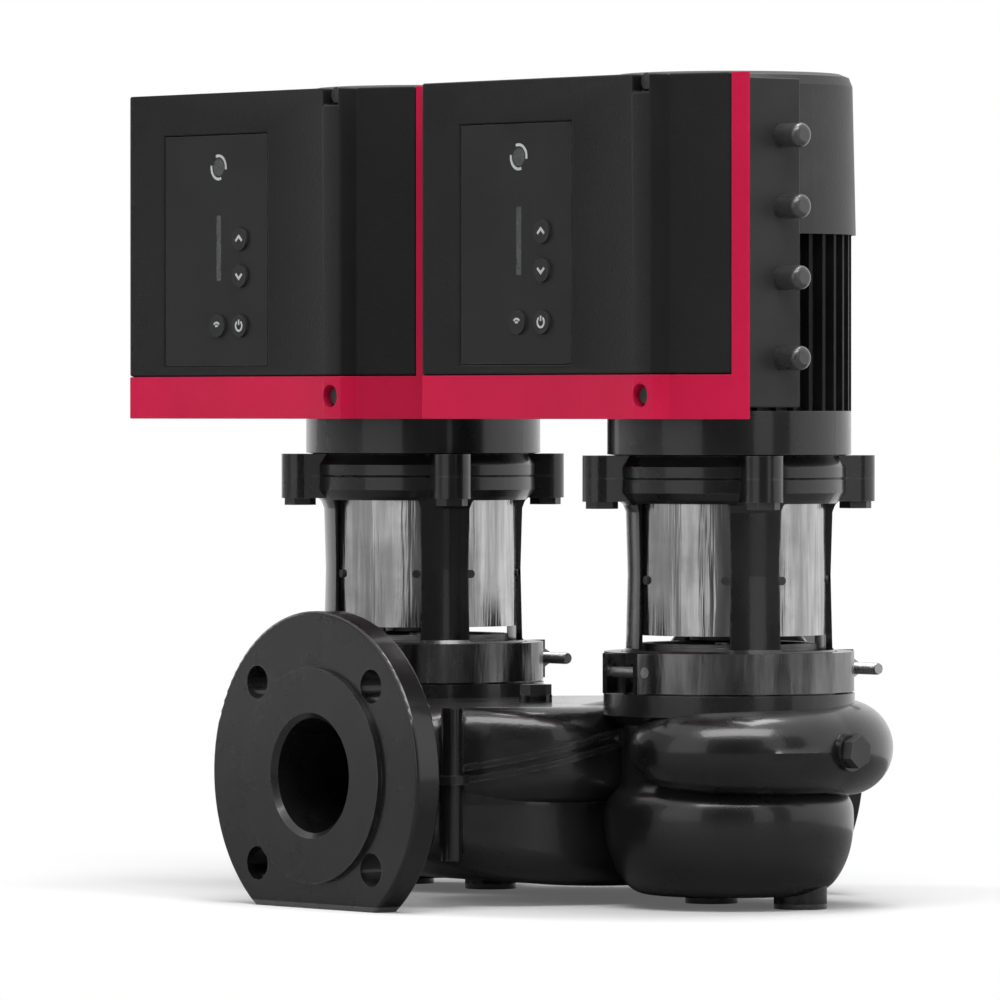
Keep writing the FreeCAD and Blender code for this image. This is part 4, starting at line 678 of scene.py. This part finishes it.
skins = [bowlSkin(side + "BowlSkin", bowlCasting, across) for side, across in headAcross.items()]
skins.append(voluteSkin("rightVoluteSkin", voluteCasting, headAcross["right"]))
for skin in skins:
    fixWinding(skin)
    shadeSmooth(skin)
    finishPiece(skin, "pump", "cast_iron_black")
print("cast skins laid")

# rubber seal in the joint between each cover and its frame
coverSeal = {
    "inset": 0.0022, "width": 0.0016, "height": 0.0007, "belowCover": 0.00015, "sharpestMitre": 0.3,
    "outline": [(-0.1276, -0.0933), (-0.1276, -0.121), (0.067, -0.121), (0.078, -0.112), (0.1139, -0.0987),
                (0.1139, -0.0933)],
}


def mitreWays(stepIn, stepOut, axis, sharpest):
    # at each corner, the mean of both bars' sideways directions in the plane square to the axis,
    # lengthened by 1 / cos of half the turn, at most 1 / sharpest, so that the bars keep their width
    sideIn = np.cross(stepIn / np.linalg.norm(stepIn, axis=1)[:, None], axis)
    sideOut = np.cross(stepOut / np.linalg.norm(stepOut, axis=1)[:, None], axis)
    mean = sideIn + sideOut
    mean /= np.linalg.norm(mean, axis=1)[:, None]
    return mean / np.clip((mean * sideIn).sum(axis=1), sharpest, 1)[:, None]


def loopBar(name, look, across, level):
    # closed bar: corner k of the section is at path(s) + inward(s) * a_k + Z * b_k, mitred at the corners
    path = np.array([(across + x, y, level) for x, y in look["outline"]])
    before = path - np.roll(path, 1, axis=0)
    after = np.roll(path, -1, axis=0) - path
    inward = mitreWays(before, after, (0, 0, -1), look["sharpestMitre"])
    offsets = look["inset"] + np.array([0, 1, 1, 0]) * look["width"]
    levels = np.array([-0.5, -0.5, 0.5, 0.5]) * look["height"]
    points = path[:, None, :] + inward[:, None, :] * offsets[None, :, None]
    points[:, :, 2] += levels[None, :]
    points = np.concatenate([points, points[:1]], axis=0)
    piece = gridPiece(name, points, capped=False)
    fixWinding(piece)
    return piece


for side, across in headAcross.items():
    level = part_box(f"{side}_box_cover")[0][2] - coverSeal["belowCover"]
    seal = loopBar(side + "CoverSeal", coverSeal, across, level)
    finishPiece(seal, "pump", "fan_plastic")
print("cover seals laid")

# rolled thread on the bare tails of the two rear clamp bolts
clampThread = {
    "length": 0.0221, "pitch": 0.001, "rowsPerTurn": 6, "around": 24, "rootRadius": 0.00302, "depth": 0.00042,
    "headRadius": 0.0052, "fromAxis": 0.02,
}
boltLow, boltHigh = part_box("clamp_bolts")
boltPlace = (boltHigh[1] - clampThread["headRadius"], (boltLow[2] + boltHigh[2]) / 2)
for side, across in headAcross.items():
    tail = rodThread(side + "ClampThread", clampThread, (across + clampThread["fromAxis"], *boltPlace))
    finishPiece(tail, "pump", "bolt_steel")
print("bolt threads cut")


# section of a mark: shares of its half width and of its thickness, with a low crown and a sunk back
markSection = {
    "across": (-1, -0.8, 0, 0.8, 1, 1, -1), "rise": (0.7, 1, 1.05, 1, 0.7, -0.4, -0.4), "sharpestMitre": 0.4,
}


def ribbonPath(name, corners, width, thickness):
    # flat bar on the panel: the section is carried along the path,
    # point(s, k) = path(s) + side(s) * offset_k - Y * height_k, with mitred sides at the corners
    path = np.array(corners, float)
    steps = np.diff(path, axis=0)
    stepIn = np.concatenate([steps[:1], steps])
    stepOut = np.concatenate([steps, steps[-1:]])
    mitre = mitreWays(stepIn, stepOut, (0, 1, 0), markSection["sharpestMitre"])
    offsets = np.array(markSection["across"]) * width / 2
    heights = np.array(markSection["rise"]) * thickness
    points = path[:, None, :] + mitre[:, None, :] * offsets[None, :, None]
    points = points - np.array([0, 1, 0])[None, None, :] * heights[None, :, None]
    return gridPiece(name, points)


def arcPath(centre, radius, startDeg, endDeg, steps):
    # arc in the panel's plane: point(a) = centre + radius * (X cos a + Z sin a)
    turn = np.radians(np.linspace(startDeg, endDeg, steps))
    return np.stack([centre[0] + radius * np.cos(turn), np.full(steps, centre[1]),
                     centre[2] + radius * np.sin(turn)], axis=1)


# generic marks on the buttons: arrows, a ring with a stroke, and two small arcs
panelMarks = {
    "width": 0.0015, "thinWidth": 0.0012, "thickness": 0.00022, "steps": 24,
    "arrow": 0.0029, "arrowDrop": 0.4, "arrowRise": 0.55,
    "ring": 0.0029, "ringDeg": (125, 415), "stroke": (0.0006, 0.0036),
    "waves": {"Inner": 0.0014, "Outer": 0.0032}, "waveDeg": (40, 140), "waveDrop": 0.0012,
}


def buttonFront(node):
    low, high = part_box(node)
    return ((low[0] + high[0]) / 2, low[1], (low[2] + high[2]) / 2)


def markPiece(name, path, body, width):
    piece = ribbonPath(name, path, width, panelMarks["thickness"])
    fixWinding(piece)
    return finishPiece(piece, body, "button_grey", markMaterial)


def buttonMarks(side, look):
    half = look["arrow"]
    for word, way in (("up", 1), ("down", -1)):
        x, y, z = buttonFront(f"{side}_{word}_button")
        tail = z - way * half * look["arrowDrop"]
        tip = z + way * half * look["arrowRise"]
        chevron = [(x - half, y, tail), (x, y, tip), (x + half, y, tail)]
        markPiece(f"{side}{word.title()}Arrow", chevron, f"{side}_{word}_button", look["width"])
    x, y, z = buttonFront(f"{side}_run_button")
    ring = arcPath((x, y, z), look["ring"], *look["ringDeg"], look["steps"])
    markPiece(side + "RunRing", ring, f"{side}_run_button", look["thinWidth"])
    stroke = [(x, y, z + rise) for rise in look["stroke"]]
    markPiece(side + "RunStroke", stroke, f"{side}_run_button", look["thinWidth"])
    x, y, z = buttonFront(f"{side}_mode_button")
    for name, radius in look["waves"].items():
        wave = arcPath((x, y, z - look["waveDrop"]), radius, *look["waveDeg"], look["steps"] // 2)
        markPiece(f"{side}Mode{name}Arc", wave, f"{side}_mode_button", look["thinWidth"])


for side in ("left", "right"):
    buttonMarks(side, panelMarks)
print("panel marks laid")

# two arcs round the status light of each panel
statusLight = {
    "fromAxis": -0.041, "lensRadius": 0.005, "arcRadius": 0.0068, "arcWidth": 0.0016,
    "arcs": {"Upper": (-10, 110), "Lower": (170, 290)},
}
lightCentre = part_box("panel_lights")[1][2] - statusLight["lensRadius"]
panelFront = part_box("right_control_panel")[0][1]
for side, across in headAcross.items():
    centre = (across + statusLight["fromAxis"], panelFront, lightCentre)
    for name, (first, last) in statusLight["arcs"].items():
        arc = arcPath(centre, statusLight["arcRadius"], first, last, panelMarks["steps"])
        markPiece(f"{side}Eye{name}Arc", arc, "pump", statusLight["arcWidth"])
print("status lights framed")

# studio: white floor that fades into the background, four large soft lamps and dark cards
studio = {
    "floorSize": 30.0,
    "floorColor": (0.78, 0.78, 0.782, 1),
    "paleGlow": 0.1,
    "litRadius": (0.26, 0.66),
    "skyStrength": 0.27,
}


def straightRays(tree):
    # 1 for rays that show the background: from the camera, from a mirror-like surface or through glass
    path = tree.nodes.new("ShaderNodeLightPath")
    seen = mathNode(tree, "MAXIMUM", path.outputs["Is Camera Ray"], path.outputs["Is Glossy Ray"])
    return mathNode(tree, "MAXIMUM", seen, path.outputs["Is Transmission Ray"])


def flatSheet(name, corners, material):
    # one four-cornered face of the studio, which isn't part of the pump
    mesh = bpy.data.meshes.new(name)
    mesh.from_pydata([tuple(corner) for corner in corners], [], [(0, 1, 2, 3)])
    mesh.materials.append(material)
    holder = bpy.data.objects.new(name, mesh)
    bpy.context.scene.collection.objects.link(holder)
    return holder


def floorMaterial(look):
    # lit white near the pump with a faint glow of its own, and plain white beyond the outer lit radius
    material = bpy.data.materials.new("studioFloor")
    material.use_nodes = True
    tree = material.node_tree
    shader = tree.nodes["Principled BSDF"]
    shader.inputs["Base Color"].default_value = look["floorColor"]
    shader.inputs["Specular IOR Level"].default_value = 0.0
    white = tree.nodes.new("ShaderNodeEmission")
    white.inputs["Strength"].default_value = 1.0
    distance = tree.nodes.new("ShaderNodeVectorMath")
    distance.operation = "LENGTH"
    tree.links.new(objectPlace(tree), distance.inputs[0])
    far = stretchNode(tree, distance.outputs["Value"], *look["litRadius"])
    glow = tree.nodes.new("ShaderNodeEmission")
    setSocket(tree, glow.inputs["Strength"], mathNode(tree, "MULTIPLY", straightRays(tree), look["paleGlow"]))
    lit = tree.nodes.new("ShaderNodeAddShader")
    tree.links.new(shader.outputs["BSDF"], lit.inputs[0])
    tree.links.new(glow.outputs["Emission"], lit.inputs[1])
    mix = tree.nodes.new("ShaderNodeMixShader")
    tree.links.new(mathNode(tree, "MULTIPLY", far, straightRays(tree)), mix.inputs["Fac"])
    tree.links.new(lit.outputs["Shader"], mix.inputs[1])
    tree.links.new(white.outputs["Emission"], mix.inputs[2])
    tree.links.new(mix.outputs["Shader"], tree.nodes["Material Output"].inputs["Surface"])
    return material


def addFloor(look):
    half = look["floorSize"] / 2
    corners = [(-half, -half, 0), (half, -half, 0), (half, half, 0), (-half, half, 0)]
    return flatSheet("floor", corners, floorMaterial(look))


def addSky(look):
    # white where it is seen or mirrored, and dimmer where it lights the pump
    world = bpy.data.worlds.new("studioWorld")
    bpy.context.scene.world = world
    world.use_nodes = True
    tree = world.node_tree
    sky = tree.nodes["Background"]
    sky.inputs["Color"].default_value = (1, 1, 1, 1)
    sky.inputs["Strength"].default_value = look["skyStrength"]
    white = tree.nodes.new("ShaderNodeBackground")
    white.inputs["Color"].default_value = (1, 1, 1, 1)
    mix = tree.nodes.new("ShaderNodeMixShader")
    tree.links.new(straightRays(tree), mix.inputs["Fac"])
    tree.links.new(sky.outputs["Background"], mix.inputs[1])
    tree.links.new(white.outputs["Background"], mix.inputs[2])
    tree.links.new(mix.outputs["Shader"], tree.nodes["World Output"].inputs["Surface"])
    return world


def addLamp(name, lamp):
    data = bpy.data.lights.new(name, "AREA")
    data.shape = "RECTANGLE"
    data.size, data.size_y = lamp["size"]
    data.energy = lamp["watts"]
    holder = bpy.data.objects.new(name, data)
    holder.location = lamp["place"]
    holder.rotation_euler = (Vector(lamp["place"]) - Vector(lamp["aim"])).to_track_quat("Z", "Y").to_euler()
    bpy.context.scene.collection.objects.link(holder)
    holder.visible_glossy = lamp["mirrored"]
    return holder


cardRoughness = 0.9


def addCard(name, card):
    # dark matt card, standing or lying, that only shows in reflections and keeps the black parts black
    turn = math.radians(card["turnDeg"])
    away = Vector((math.sin(turn), -math.cos(turn), 0))
    along = Vector((math.cos(turn), math.sin(turn), 0)) * card["width"] / 2
    near = away * card["near"] + Vector((0, 0, card["low"]))
    far = away * card["far"] + Vector((0, 0, card["high"]))
    material = bpy.data.materials.new(name)
    material.use_nodes = True
    shader = material.node_tree.nodes["Principled BSDF"]
    shader.inputs["Base Color"].default_value = (card["grey"], card["grey"], card["grey"], 1)
    shader.inputs["Roughness"].default_value = cardRoughness
    holder = flatSheet(name, [near - along, near + along, far + along, far - along], material)
    holder.visible_camera = False
    holder.visible_diffuse = False
    holder.visible_shadow = False
    return holder


# a card stands where near and far are the same, and lies where low and high are
cards = {
    "frontCard": {"turnDeg": -46, "near": 2.3, "far": 2.3, "width": 2.9, "low": 0.02, "high": 2.0,
                  "grey": 0.5},
    "viewCard": {"turnDeg": 50, "near": 1.9, "far": 1.9, "width": 1.6, "low": 0.02, "high": 1.5,
                 "grey": 0.1},
    "sideCard": {"turnDeg": 98, "near": 2.1, "far": 2.1, "width": 0.6, "low": 0.02, "high": 1.6,
                 "grey": 0.1},
    "lowCard": {"turnDeg": 20, "near": -0.5, "far": 3.5, "width": 6.0, "low": 0.003, "high": 0.003,
                "grey": 0.2},
}
lamps = {
    "topLamp": {"place": (0.25, 0.1, 2.1), "aim": (0, 0, 0.2), "size": (1.0, 0.8), "watts": 24,
                "mirrored": True},
    "barLamp": {"place": (1.14, -0.95, 2.1), "aim": (0, 0, 0.2), "size": (2.2, 0.9), "watts": 38,
                "mirrored": True},
    "rightLamp": {"place": (2.6, -0.45, 0.8), "aim": (0, 0, 0.22), "size": (0.6, 1.5), "watts": 12,
                  "mirrored": False},
    "frontLamp": {"place": (-2.3, -1.35, 0.9), "aim": (0, 0, 0.22), "size": (0.8, 1.2), "watts": 44,
                  "mirrored": False},
}
addFloor(studio)
addSky(studio)
for name, card in cards.items():
    addCard(name, card)
for name, lamp in lamps.items():
    addLamp(name, lamp)
bpy.context.scene.view_settings.view_transform = "Standard"
print("studio lit")
